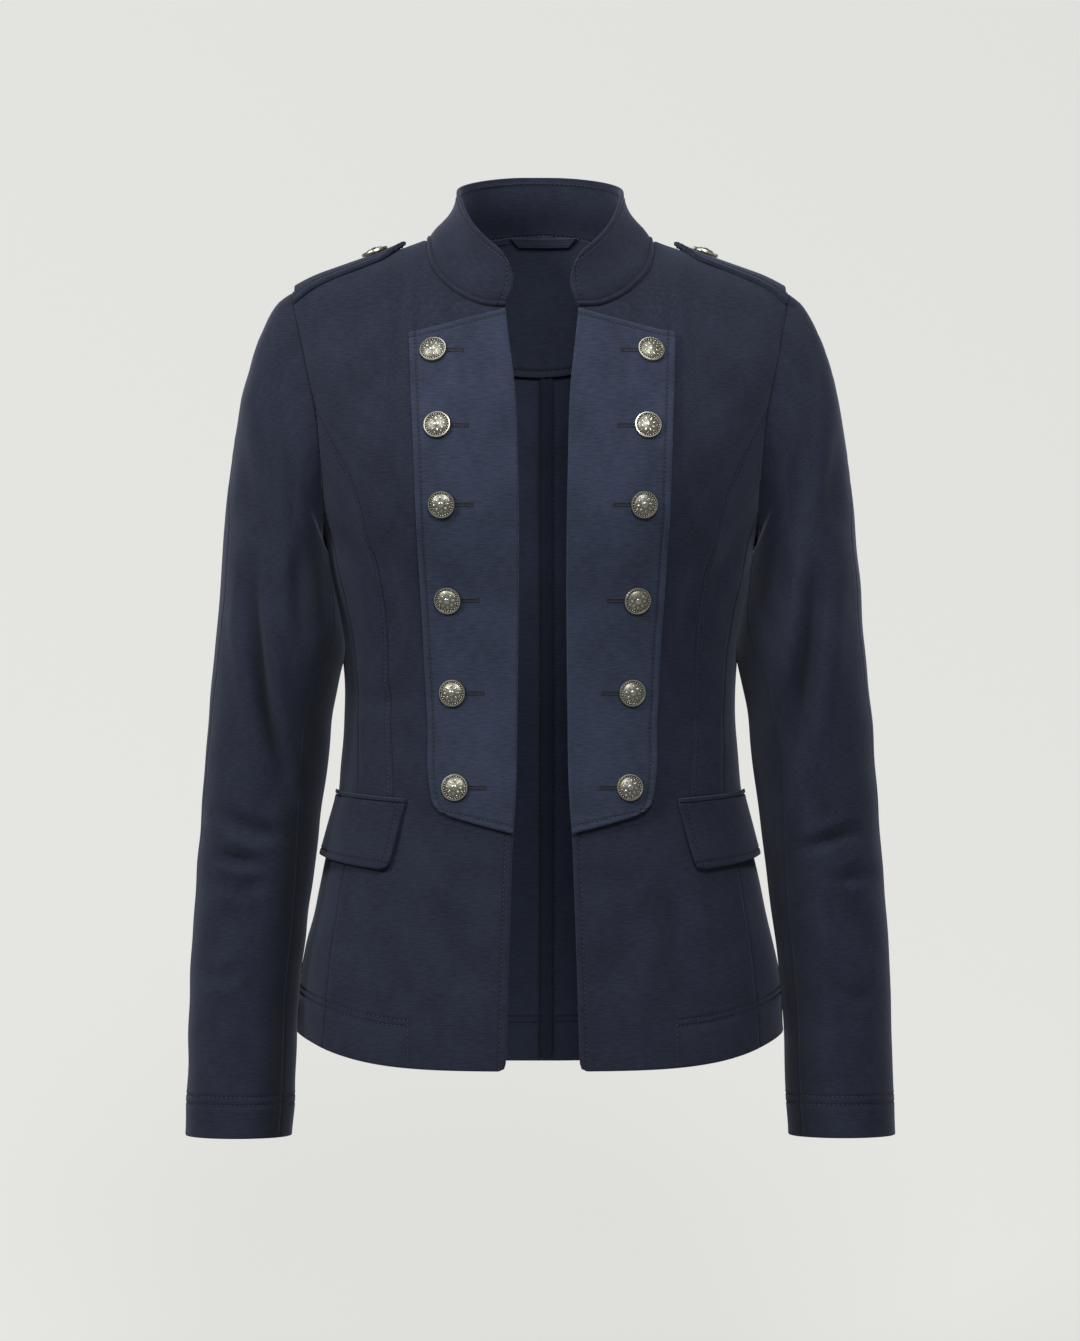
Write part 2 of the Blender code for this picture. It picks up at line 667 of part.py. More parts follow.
def ring_frame(ring):
    """A sleeve ring's middle and its direction and reach towards its outer end."""
    outer = np.array([ring.outer_x, ring.mid_y, ring.outer_z])
    inner = np.array([ring.inner_x, ring.mid_y, ring.inner_z])
    return (outer + inner) / 2, (outer - inner) / 2


def ring_point(ring, turn):
    """A point on a sleeve ring; turn is 0 at its outer end and a quarter turn at its front."""
    middle, reach = ring_frame(ring)
    return middle + reach * math.cos(turn) - np.array([0, ring.half_depth * math.sin(turn), 0])


def ring_turn(ring, point):
    """The turn at which a ring comes closest to a point of the armhole."""
    middle, reach = ring_frame(ring)
    along = np.dot(point - middle, reach) / np.dot(reach, reach)
    return math.atan2(-(point[1] - ring.mid_y) / ring.half_depth, along)


def sleeve_sheets(armhole):
    """The sleeve's points, ring by ring; the columns start at the elbow seam and go round by the front."""
    armhole = np.roll(armhole, ELBOW_ROWS_BEHIND_SHOULDER, axis=0)
    count = len(armhole)
    upper = ELBOW_ROWS_BEHIND_SHOULDER + ROWS_YOKE + COLS_SIDE_FRONT
    first = SLEEVE_RINGS[0]
    start = np.unwrap([ring_turn(first, p) for p in armhole])
    off = armhole - np.array([ring_point(first, t) for t in start])
    rows = []
    for ring in SLEEVE_RINGS:
        elbow, forearm = math.radians(ring.elbow), math.radians(ring.forearm)
        goal = np.concatenate([
            np.linspace(elbow, forearm, upper + 1)[:-1],
            np.linspace(forearm, elbow + 2 * math.pi, count - upper + 1),
        ])
        own = np.append(start, start[0] + 2 * math.pi)
        turns = own * (1 - ring.blend) + goal * ring.blend
        moved = np.vstack([off, off[:1]]) * (1 - ring.blend)
        rows.append([ring_point(ring, t) + m for t, m in zip(turns, moved)])
    grid = np.array(rows)
    turned = np.concatenate([grid[:, -2:-1], grid, grid[:, 1:2]], axis=1)
    normals = grid_normals(turned)[:, 1:-1]
    return (grid[:, : upper + 1], normals[:, : upper + 1]), (grid[:, upper:], normals[:, upper:])


def build_sleeve(side, armhole):
    """The upper and the under sleeve of one half."""
    name = side_name(side)
    for part, sheet in zip(("upper", "under"), sleeve_sheets(armhole)):
        top = range(sheet[0].shape[1])
        add_sheet_wall(f"sleeve_{part}_{name}", sheet, side, CLOTH, NAVY, seams=[(top, -TO_SLEEVE)])


def neck_ring():
    """The neck seam's points on the body, from the +X front edge round the back to the other one."""
    front = resample([(p.x, p.level) for p in FRONT_NECK] + [(NECK_HALF, 0.0)], COLS_NECK)
    ring = [body_point(turn_at(x, z), z) for x, z in front]
    halves = []
    for side in (1, -1):
        back = [(NECK_HALF, 0.0)] + [(p.x, p.level) for p in BACK_NECK]
        centre_x = CENTRE_BACK_X * side
        back = resample([*back, (centre_x, back_neck_level(centre_x))], COLS_BACK_NECK)
        half = ring[:-1] + [body_point(turn_at(x, z, True), z) for x, z in back]
        halves.append(mirrored(half, side))
    return np.concatenate([halves[0], halves[1][::-1][1:]])


def build_collar():
    """The stand collar, which rises from the neck seam and has rounded front ends."""
    base = neck_ring()
    half = COLS_NECK + COLS_BACK_NECK
    top_half = resample(COLLAR_TOP, half)
    top = np.concatenate([top_half, mirrored(top_half[::-1][1:], -1)])
    shares = np.linspace(0, 1, ROWS_COLLAR + 1)
    rows = []
    for share in shares:
        row = base * (1 - share) + top * share
        swell = math.sin(math.pi * share)
        for i, point in enumerate(row):
            flat = np.array([point[0], point[1], 0.0])
            round_back = min(i, len(row) - 1 - i) / half
            point -= flat / np.linalg.norm(flat) * COLLAR_HOLLOW * swell * min(1.0, 2 * round_back)
        for i, sign in ((0, -1), (len(row) - 1, 1)):
            row[i][0] += sign * COLLAR_FRONT_BULGE * swell
        row[:, 2] += COLLAR_LIFT * (1 - share)
        rows.append(row)
    grid = np.array(rows)[:, ::-1]
    add_sheet_wall("collar", (grid, grid_normals(grid)), 1, COLLAR_CLOTH, NAVY)


def build_back_facing():
    """The facing inside the back of the neck."""
    xs = np.linspace(-FACING_HALF, FACING_HALF, COLS_FACING + 1)
    neck = [(-p.x, p.level) for p in BACK_NECK] + [(0.0, BACK_NECK_CENTRE)]
    neck += [(p.x, p.level) for p in BACK_NECK[::-1]]
    neck = sorted([(-NECK_HALF, 0.0), *neck, (NECK_HALF, 0.0)])
    grid = []
    for share in np.linspace(0, 1, ROWS_FACING + 1):
        row = []
        for x in xs:
            corner = FACING_CORNER_DROP * (x / FACING_HALF) ** 4
            top = np.interp(x, *zip(*neck)) - FACING_TOP_GAP - corner
            bottom = FACING_DROP + FACING_CURVE * x * x
            level = bottom + (top - bottom) * share
            row.append((turn_at(x, level, True), level))
        grid.append(row[::-1])
    sheet = to_sheet(grid, -(CLOTH + FACING_GAP))
    add_sheet_wall("back_neck_facing", sheet, 1, FACING_CLOTH, NAVY_INSIDE)


def build_hanger_loop():
    """The flat hanger loop inside the back neck, wider at its top edge."""
    grid = []
    for share in np.linspace(0, 1, ROWS_LOOP + 1):
        half = LOOP_HALF_BOTTOM + (LOOP_HALF_TOP - LOOP_HALF_BOTTOM) * share
        level = LOOP_BOTTOM + (LOOP_TOP - LOOP_BOTTOM) * share
        xs = LOOP_CENTRE_X + np.linspace(half, -half, COLS_LOOP + 1)
        grid.append([(turn_at(x, level, True), level) for x in xs])
    sheet = to_sheet(grid, -(CLOTH + FACING_GAP + FACING_CLOTH + LOOP_GAP))
    add_sheet_wall("hanger_loop", sheet, 1, LOOP_CLOTH, NAVY)


def build_placket(side):
    """The buttoned overlay on one front, from the collar seam to below the waist."""
    top_level = FRONT_EDGE[-1].level - PLACKET_NECK_GAP
    low, high = PLACKET_EDGE[0].level, PLACKET_EDGE[-1].level
    edge = seam_line(FRONT_EDGE, np.linspace(PLACKET_LOW, top_level, ROWS_PLACKET + 1))
    outer = seam_line(PLACKET_EDGE, np.linspace(low, high, ROWS_PLACKET + 1))
    between = [(turn_at(mark.x, mark.level), mark.level) for mark in PLACKET_TOP]
    top = resample([edge[-1], *between, outer[-1]], COLS_PLACKET)
    places = fill_between(straight(edge[0], outer[0], COLS_PLACKET), top, edge, outer)
    sheet = to_sheet(places, PLACKET_LIFT + PLACKET_CLOTH)
    add_sheet_wall(f"placket_{side_name(side)}", sheet, side, PLACKET_CLOTH, NAVY)


def build_pocket(side):
    """The pocket flap and the narrow welt above it."""
    name = side_name(side)
    outer_turn = math.radians(FLAP_OUTER_TURN)

    def edge_places(inner, outer_level, raise_by):
        x, level = inner
        start = (turn_at(x, level), level + raise_by)
        return straight(start, (outer_turn, outer_level + raise_by), COLS_FLAP)

    top = edge_places(FLAP_INNER_TOP, FLAP_OUTER_TOP, 0.0)
    bottom = edge_places(FLAP_INNER_BOTTOM, FLAP_OUTER_BOTTOM, 0.0)
    shares = np.linspace(0, 1, ROWS_FLAP + 1)[:, None, None]
    across = np.linspace(0, 1, COLS_FLAP + 1)[None, :, None]
    points, normals = to_sheet(bottom * (1 - shares) + top * shares)
    low_lift = FLAP_LIFT_BOTTOM + FLAP_CORNER_LIFT * across**2
    lifts = FLAP_CLOTH + low_lift + (FLAP_LIFT_TOP - low_lift) * shares
    flap = points + lifts * normals, normals
    add_sheet_wall(f"pocket_flap_{name}", flap, side, FLAP_CLOTH, NAVY)
    welt = [
        edge_places(FLAP_INNER_TOP, FLAP_OUTER_TOP, raise_by)
        for raise_by in (SEAM_GAP, SEAM_GAP + WELT_HEIGHT)
    ]
    sheet = to_sheet(welt, FLAP_LIFT_TOP + WELT_CLOTH)
    add_sheet_wall(f"pocket_welt_{name}", sheet, side, WELT_CLOTH, NAVY)


def strap_point(x, y, lift):
    """A point above the shoulder, at a distance before or behind its ridge, found in a few passes."""
    level = ridge_level(x)
    depth = "front" if y < 0 else "back"
    for _ in range(STRAP_PASSES):
        square = section("square", level)
        width = (1 - (x / section("half_width", level)) ** square) ** (1 / square)
        opened = min(abs(y) / (section(depth, level) * width), 1.0)
        level = ridge_level(x) - SHOULDER_ROUND * (1 - math.sqrt(1 - opened**2))
    slope = math.copysign(opened, y)
    normal = np.array([SHOULDER_SLOPE, slope, math.sqrt(1 - opened**2)])
    return np.array([x, y, level]) + lift * normal / np.linalg.norm(normal)


def build_shoulder_strap(side):
    """The shoulder strap, from the armhole seam to a point near the collar, with its tip a little raised."""
    xs = np.linspace(STRAP_TIP_X, STRAP_OUTER_X, COLS_STRAP + 1)
    grid = []
    for across in np.linspace(-1, 1, ROWS_STRAP + 1):
        row = []
        for x in xs:
            inset = max(0.0, 1 - (x - STRAP_TIP_X) / STRAP_POINT)
            half = STRAP_HALF_WIDTH * (1 - STRAP_TIP_NARROWING * inset**STRAP_TIP_CURVE)
            tip = STRAP_TIP_RISE * max(0.0, 1 - (x - STRAP_TIP_X) / (2 * STRAP_POINT)) ** 2
            place = x - STRAP_TIP_BOW * inset * (1 - across**2)
            row.append(strap_point(place, half * across, STRAP_LIFT + STRAP_CLOTH + tip))
        grid.append(row)
    grid = np.array(grid)
    sheet = grid, grid_normals(grid)
    add_sheet_wall(f"shoulder_strap_{side_name(side)}", sheet, side, STRAP_CLOTH, NAVY)


def button_mesh_data():
    """A domed button with a raised rim, standing on the origin."""
    points = [(0.0, 0.0, 0.0)]
    for share, height in BUTTON_PROFILE:
        for k in range(BUTTON_SIDES):
            turn = 2 * math.pi * k / BUTTON_SIDES
            radius = BUTTON_RADIUS * share
            points.append((radius * math.cos(turn), radius * math.sin(turn), height))
    points.append((0.0, 0.0, BUTTON_TOP))
    faces = []
    for k in range(BUTTON_SIDES):
        after = (k + 1) % BUTTON_SIDES
        faces.append((0, 1 + after, 1 + k))
        for ring in range(len(BUTTON_PROFILE) - 1):
            low, high = 1 + ring * BUTTON_SIDES, 1 + (ring + 1) * BUTTON_SIDES
            faces.append((low + k, low + after, high + after, high + k))
        last = 1 + (len(BUTTON_PROFILE) - 1) * BUTTON_SIDES
        faces.append((last + k, last + after, len(points) - 1))
    return np.array(points), faces


def add_button(name, place, outward, side):
    """One button on its cloth, square to the surface there."""
    points, faces = button_mesh_data()
    turned = Vector((0, 0, 1)).rotation_difference(Vector(outward)).to_matrix()
    points = points @ np.array(turned).T + np.array(place)
    add_object(name, mirrored(points, side), faces, metal_material(name + "_metal", PEWTER))


def build_buttons(side):
    """Six buttons down the placket and one on the shoulder strap."""
    name = side_name(side)
    lift = PLACKET_LIFT + PLACKET_CLOTH + BUTTON_GAP
    for number, button in enumerate(FRONT_BUTTONS, 1):
        turn = turn_at(button.x, button.level)
        place = on_body(turn, button.level, lift)
        add_button(f"button_{name}_{number}", place, body_normal(turn, button.level), side)
    top = strap_point(STRAP_BUTTON_X, 0.0, STRAP_LIFT + STRAP_CLOTH + STRAP_BUTTON_GAP)
    add_button(f"button_strap_{name}", top, (SHOULDER_SLOPE, 0.0, 1.0), side)


def main():
    """Clears the scene and builds the blazer."""
    for old in list(bpy.context.scene.objects):
        bpy.data.objects.remove(old, do_unlink=True)
    for side in (-1, 1):
        armhole = build_body(side)
        build_sleeve(side, armhole)
        build_placket(side)
        build_pocket(side)
        build_shoulder_strap(side)
        build_buttons(side)
    build_collar()
    build_back_facing()
    build_hanger_loop()


main()
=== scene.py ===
"""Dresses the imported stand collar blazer: smooth cloth with folds, seams, stitching and metal buttons.

Lengths are in millimetres until a mesh is made, and the scene is in metres. The front faces -Y, +Z is up,
and the wearer's left is +X. Every cut piece is worked out for the +X half and carried to its own side.
"""

from __future__ import annotations

import logging
import math
from dataclasses import dataclass, field
from enum import Enum

import bpy
import numpy as np
from mathutils import Matrix, Vector

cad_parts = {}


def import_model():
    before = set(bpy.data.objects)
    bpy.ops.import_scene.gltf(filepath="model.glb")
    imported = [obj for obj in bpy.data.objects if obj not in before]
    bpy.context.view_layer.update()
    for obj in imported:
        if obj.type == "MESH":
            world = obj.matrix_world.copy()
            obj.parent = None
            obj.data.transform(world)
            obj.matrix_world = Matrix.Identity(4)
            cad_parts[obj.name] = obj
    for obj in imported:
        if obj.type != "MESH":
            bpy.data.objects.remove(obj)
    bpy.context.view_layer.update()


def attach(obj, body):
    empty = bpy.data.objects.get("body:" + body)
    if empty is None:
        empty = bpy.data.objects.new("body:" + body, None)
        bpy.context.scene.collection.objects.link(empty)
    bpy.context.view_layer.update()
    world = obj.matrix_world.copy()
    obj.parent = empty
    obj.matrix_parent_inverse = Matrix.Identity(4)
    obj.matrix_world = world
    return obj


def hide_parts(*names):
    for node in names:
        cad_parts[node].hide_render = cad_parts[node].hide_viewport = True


Array = np.ndarray
Pair = tuple[float, float]
Triple = tuple[float, float, float]
Material = bpy.types.Material
Piece = bpy.types.Object
Socket = bpy.types.NodeSocket
Tree = bpy.types.NodeTree
MM = 0.001
# further from an edge than any place on a sheet, in millimetres
FAR = 1000.0
# a crease's modelled depth is its stated depth times this
CREASE_SCALE = 2.5
# creases stated deeper than this get painted shade inside
CREASE_PAINTED_SHADE_DEPTH = 1.7
LOG = logging.getLogger("blazer")


class Side(Enum):
    """The wearer's side of a half."""

    RIGHT = -1
    LEFT = 1

    @property
    def word(self) -> str:
        """The side's word in the nodes' names."""
        return self.name.lower()


class Edge(Enum):
    """The edges of a sheet's grid: columns run from LEFT to RIGHT, rows from BOTTOM to TOP."""

    LEFT = "left"
    RIGHT = "right"
    BOTTOM = "bottom"
    TOP = "top"


def smooth_lookup(knots: Array, values: Array, at: Array) -> Array:
    """Reads a smooth curve through a table of increasing knots.

    Args:
        knots: Increasing places.
        values: The value at each knot.
        at: The places to read.

    Returns:
        The values there.
    """
    knots, values = np.asarray(knots, float), np.asarray(values, float)
    at = np.clip(np.asarray(at, float), knots[0], knots[-1])
    k = np.clip(np.searchsorted(knots, at, side="right") - 1, 0, len(knots) - 2)
    slopes = np.gradient(values, knots)
    width = knots[k + 1] - knots[k]
    t = (at - knots[k]) / width
    return (
        (2 * t**3 - 3 * t**2 + 1) * values[k]
        + (t**3 - 2 * t**2 + t) * width * slopes[k]
        + (3 * t**2 - 2 * t**3) * values[k + 1]
        + (t**3 - t**2) * width * slopes[k + 1]
    )


def resample(points: Array, cells: int) -> Array:
    """Spaces points evenly along a smooth curve.

    Args:
        points: A few points on the curve.
        cells: How many gaps the new points leave.

    Returns:
        The new points, one more than cells.
    """
    points = np.array(points, float)
    knots = np.concatenate([[0], np.cumsum(np.linalg.norm(np.diff(points, axis=0), axis=1))])
    places = np.linspace(0, knots[-1], cells + 1)
    return np.stack([smooth_lookup(knots, column, places) for column in points.T], axis=1)


def fill_between(bottom: Array, top: Array, left: Array, right: Array) -> Array:
    """Fills the grid of places inside four edges.

    Args:
        bottom: Places from left to right.
        top: Places from left to right.
        left: Places upwards.
        right: Places upwards.

    Returns:
        The grid, rows by columns by two.
    """
    u = np.linspace(0, 1, len(bottom))[None, :, None]
    v = np.linspace(0, 1, len(left))[:, None, None]
    bottom, top = np.asarray(bottom)[None], np.asarray(top)[None]
    left, right = np.asarray(left)[:, None], np.asarray(right)[:, None]
    corners = (
        (1 - u) * (1 - v) * bottom[:, :1] + u * (1 - v) * bottom[:, -1:]
        + (1 - u) * v * top[:, :1] + u * v * top[:, -1:]
    )
    return (1 - u) * left + u * right + (1 - v) * bottom + v * top - corners


def straight(start: Array, end: Array, cells: int) -> Array:
    """Evenly spaced places between two places."""
    return np.linspace(start, end, cells + 1)


def ruled(left: Array, right: Array, cells: int) -> Array:
    """Fills the grid of places between two upright edges, with straight ends."""
    return fill_between(straight(left[0], right[0], cells), straight(left[-1], right[-1], cells), left, right)


def arc_lengths(points: Array, axis: int) -> Array:
    """Distances along the rows (axis 1) or columns (axis 0) of a grid of points, from its first point."""
    steps = np.linalg.norm(np.diff(points, axis=axis), axis=2)
    start = np.zeros_like(np.take(steps, [0], axis=axis))
    return np.cumsum(np.concatenate([start, steps], axis=axis), axis=axis)


def grid_normals(points: Array) -> Array:
    """The outward directions of a grid of points, from its own cells."""
    normals = np.cross(np.gradient(points, axis=1), np.gradient(points, axis=0))
    return normals / np.maximum(np.linalg.norm(normals, axis=2), 1e-9)[:, :, None]


@dataclass
class BodyForm:
    """The surface of the blazer's body, from horizontal sections, in turns and levels.

    A turn is 0 at the centre front and pi at the centre back.
    """

    neck_half: float = 87.4
    shoulder_half: float = 192.0
    shoulder_slope: float = 0.352
    shoulder_end_x: float = 165.0
    shoulder_end_drop: float = 4.0
    neck_rise: float = 24.0
    neck_round: float = 45.0
    shoulder_round: float = 170.0
    bust_x: float = 82.0
    bust_level: float = -205.0
    bust_fullness: float = 8.0
    bust_spread: float = 52.0
    hem_level: float = -634.0
    hem_side_rise: float = 23.5
    hem_back_drop: float = 8.0
    hem_shape_reach: float = 170.0
    # level, half width, front, back, squareness
    sections: tuple[tuple[float, ...], ...] = (
        (-660, 190.0, 126, 122, 2.25), (-634, 188.0, 125, 121, 2.25), (-580, 185.6, 120, 115, 2.25),
        (-514, 173.0, 113, 107, 2.25), (-460, 162.0, 107, 99, 2.25), (-420, 155.0, 104, 93, 2.25),
        (-386, 152.0, 102, 89, 2.20), (-350, 151.0, 101, 87, 2.20), (-316, 153.0, 103, 90, 2.25),
        (-285, 157.2, 107, 95, 2.30), (-255, 162.2, 112, 101, 2.40), (-225, 167.2, 117, 107, 2.50),
        (-190, 175.0, 118, 111, 2.65), (-150, 185.5, 113, 112, 2.80), (-100, 195.0, 103, 107, 2.95),
        (-50, 203.5, 87, 98, 3.00), (20, 205.0, 80, 97, 3.00),
    )

    def measure(self, column: int, level: Array) -> Array:
        """One column of the sections' table at some levels."""
        table = np.array(self.sections, float)
        return smooth_lookup(table[:, 0], table[:, column], level)

    def ridge_level(self, x: Array) -> Array:
        """The height of the shoulder's ridge at distances from the middle."""
        x = np.abs(x)
        past = np.clip((x - self.shoulder_end_x) / (self.shoulder_half - self.shoulder_end_x), 0, None)
        outer = -self.shoulder_slope * (x - self.neck_half) - self.shoulder_end_drop * past**2
        soft = self.neck_half + np.hypot(x, self.neck_round) - math.hypot(self.neck_half, self.neck_round)
        rise = self.neck_rise * (1 - (x / self.neck_half) ** 2) ** 2
        return np.where(x >= self.neck_half, outer, self.shoulder_slope * (self.neck_half - soft) + rise)

    def closing(self, x: Array, level: Array) -> Array:
        """How far the body has opened below the shoulder's ridge, from 0 on it to 1."""
        below = np.clip((self.ridge_level(x) - level) / self.shoulder_round, 0, 1)
        return np.sqrt(1 - (1 - below) ** 2)

    def turn_at(self, x: Array, level: Array, behind: bool = False) -> Array:
        """The turn of the point on the front, or on the back, with this half width at a level."""
        share = np.minimum(np.abs(x) / self.measure(1, level), 1.0)
        turn = np.copysign(np.arcsin(share ** (self.measure(4, level) / 2)), x)
        return math.pi - turn if behind else turn

    def point(self, turn: Array, level: Array) -> Array:
        """Points on the body's outer surface.

        Args:
            turn: Turns from the centre front, in radians.
            level: Levels before the hem's shape is added.

        Returns:
            The points, with one more axis of three.
        """
        square = self.measure(4, level)
        around, along = np.sin(turn), np.abs(np.cos(turn))
        x = np.copysign(np.abs(around) ** (2 / square), around) * self.measure(1, level)
        depth = along ** (2 / square) * self.closing(x, level)
        away = ((np.abs(x) - self.bust_x) ** 2 + (level - self.bust_level) ** 2) / self.bust_spread**2
        front = self.measure(2, level) + self.bust_fullness * np.exp(-away)
        y = np.where(turn < math.pi / 2, -depth * front, depth * self.measure(3, level))
        fade = np.clip(1 - (level - self.hem_level) / self.hem_shape_reach, 0, None) ** 2
        rise = self.hem_side_rise * np.sin(turn) ** 4
        rise = rise - np.where(turn > math.pi / 2, self.hem_back_drop * np.cos(turn) ** 2, 0)
        return np.stack([x, y, level + rise * fade], axis=-1)

    def normal(self, turn: Array, level: Array) -> Array:
        """The outward directions of the surface at some places."""
        x = self.point(turn, level)[..., 0]
        across = self.point(turn + 0.004, level) - self.point(turn - 0.004, level)
        high = np.minimum(level + 1.0, np.maximum(self.ridge_level(x), level))
        up = self.point(turn, high) - self.point(turn, level - 1.0)
        normal = np.cross(across, up)
        return normal / np.linalg.norm(normal, axis=-1, keepdims=True)


@dataclass
class Pattern:
    """The seam lines and edges of the cut pieces, as half widths at levels."""

    form: BodyForm = field(default_factory=BodyForm)
    pocket_level: float = -431.0
    centre_back_x: float = 7.0
    back_neck_centre: float = 5.7
    front_edge: tuple = (
        (-634, 28.0), (-566, 26.0), (-506, 24.1), (-456, 22.2), (-431, 20.4), (-355, 18.9), (-182, 18.9),
        (-113, 21.5), (-83, 25.0), (-56, 28.0),
    )
    front_princess: tuple = (
        (-634, 122.0), (-500, 115.0), (-431, 112.5), (-370, 114.7), (-340, 116.0), (-299, 118.5),
        (-273, 121.5), (-242, 128.8), (-209, 137.2), (-185, 145.5), (-157, 160.0), (-132, 172.9),
    )
    side_seam: tuple = (
        (-634, 167.0), (-549, 160.0), (-486, 151.0), (-431, 140.5), (-378, 139.5), (-336, 140.5),
        (-290, 146.5), (-250, 155.5), (-212, 165.8),
    )
    back_princess: tuple = (
        (-634, 118.0), (-500, 102.0), (-431, 92.0), (-360, 88.0), (-320, 92.0), (-260, 108.0),
        (-215, 128.0), (-180, 150.0), (-150, 173.0),
    )
    front_armhole: tuple = (
        (-212, 165.8), (-163.6, 169.2), (-132, 172.9), (-113.9, 176.8), (-87.7, 182.4), (-59, 188.5),
        (-41, 192.0),
    )
    back_armhole: tuple = ((-150, 173.0), (-120, 175.0), (-90, 180.0), (-60, 187.0), (-41, 192.0))
    placket_top: tuple = ((-64, 50.0), (-71.5, 78.0))
    placket_edge: tuple = (
        (-441, 76.0), (-434.5, 81.5), (-425, 83.8), (-373, 86.0), (-296, 89.8), (-247, 93.0),
        (-180, 96.2), (-127, 98.8), (-77, 100.8),
    )
    # turn in degrees, level
    underarm: tuple = ((84.0, -226), (90.0, -231), (97.0, -229), (104.0, -214), (110.0, -188))
    # half width, level
    front_neck: tuple = ((28, -56), (45, -54.5), (60, -48), (73, -38), (82, -27), (87, -10))
    back_neck: tuple = ((80, -0.7), (60, -2.0), (40, 1.0), (20, 4.2))

    def seam_x(self, marks: tuple, level: Array) -> Array:
        """The half width of a seam or edge at some levels."""
        table = np.array(marks, float)
        return smooth_lookup(table[:, 0], table[:, 1], level)

    def seam(self, marks: tuple, levels: Array, behind: bool = False) -> Array:
        """Places along a seam at a row of levels."""
        levels = np.asarray(levels, float)
        return np.stack([self.form.turn_at(self.seam_x(marks, levels), levels, behind), levels], axis=1)

    def yoke_levels(self, low: float, high: float, rows: int) -> Array:
        """Levels that close up towards the shoulder's ridge."""
        return low + (high - low) * np.sin(np.linspace(0, math.pi / 2, rows + 1))

    def shoulder_level(self) -> float:
        """The level of the shoulder's point."""
        return float(self.form.ridge_level(self.form.shoulder_half))

    def shoulder(self, cells: int) -> Array:
        """Half widths and levels along the shoulder's ridge, from the neck outwards."""
        xs = np.linspace(self.form.neck_half, self.form.shoulder_half, cells + 1)
        return np.stack([xs, self.form.ridge_level(xs)], axis=1)

    def back_neck_level(self, x: float) -> float:
        """The height of the back neck seam near the middle."""
        edge_x, edge_level = self.back_neck[-1]
        return edge_level + (self.back_neck_centre - edge_level) * (1 - (x / edge_x) ** 2)

    def neck_front(self, cells: int) -> Array:
        """Half widths and levels of the neck seam, from the front edge to the shoulder."""
        return resample([*self.front_neck, (self.form.neck_half, 0.0)], cells)

    def neck_back(self, cells: int, centre_x: float) -> Array:
        """Half widths and levels of the neck seam, from the shoulder to near the centre back."""
        ends = [(self.form.neck_half, 0.0), *self.back_neck, (centre_x, self.back_neck_level(centre_x))]
        return resample(ends, cells)

    def places(self, widths: Array, behind: bool = False) -> Array:
        """Turns and levels of rows of half widths and levels."""
        return np.stack([self.form.turn_at(widths[:, 0], widths[:, 1], behind), widths[:, 1]], axis=1)


@dataclass(frozen=True)
class Trim:
    """How the cloth is shaped along an edge: distances in from it, the rise there and the painted shade that darkens
    the dip.
    """

    rows: tuple[Triple, ...]
    stitches: tuple[float, ...] = ()
    seam: bool = False

    @property
    def distances(self) -> Array:
        """The distances at which the sheet has a row of points."""
        return np.array([row[0] for row in self.rows])

    def rise(self, distance: Array) -> Array:
        """The rise off the plain sheet at some distances."""
        return np.interp(distance, self.distances, [row[1] for row in self.rows])

    def painted_shade(self, distance: Array) -> Array:
        """The painted shade that darkens the dip at some distances."""
        return np.interp(distance, self.distances, [row[2] for row in self.rows])


def stitched(
    rows: tuple[float, ...], start: tuple[Triple, ...], seam: bool = False
) -> Trim:
    """A trim with rows of topstitching, each in a shallow dip between two swells, darkened with painted shade.

    Args:
        rows: The distances of the rows of stitches.
        start: The trim's rows before the first dip.
        seam: Whether the edge is sewn to another piece.

    Returns:
        The trim.
    """
    shape = list(start)
    for distance in rows:
        shape += [(distance - 1.2, 0.22, 0.04), (distance - 0.5, -0.2, 0.4), (distance, -0.38, 0.6),
                  (distance + 0.5, -0.2, 0.4), (distance + 1.2, 0.18, 0.03)]
    shape.append((rows[-1] + 3.4, 0.0, 0.0))
    return Trim(tuple(shape), rows, seam)


# the third number of each row is painted shade: the colour is drawn darker in the seams' grooves and the stitches'
# dips
SEAM_START = ((0.0, -0.25, 0.4), (1.5, 0.05, 0.05))
FOLD_START = ((0.0, 0.0, 0.0), (2.0, 0.12, 0.0))
PLAIN_SEAM = Trim((*SEAM_START, (3.6, 0.14, 0.0), (7.0, 0.0, 0.0)), seam=True)
TOPSTITCHED_SEAM = stitched((5.6,), (*SEAM_START, (3.4, 0.2, 0.0)), seam=True)
FOLDED = Trim((*FOLD_START, (4.5, 0.0, 0.0)))
STITCHED_FOLD = stitched((5.4,), FOLD_START)
HEM = stitched((31.4, 36.2), (*FOLD_START, (6.0, 0.0, 0.0), (14.0, 0.0, 0.0), (24.0, 0.1, 0.0)))
CUFF = stitched((25.4, 31.8), (*FOLD_START, (6.0, 0.0, 0.0), (14.0, 0.0, 0.0), (20.0, 0.1, 0.0)))
CORDED_SEAM = Trim((
    (0.0, -0.2, 0.5), (1.6, 0.75, 0.0), (2.8, 0.75, 0.0), (3.8, 0.1, 0.3), (4.4, -0.45, 0.6),
    (5.1, -0.1, 0.2), (6.4, 0.05, 0.0), (9.5, 0.0, 0.0),
), seam=True)


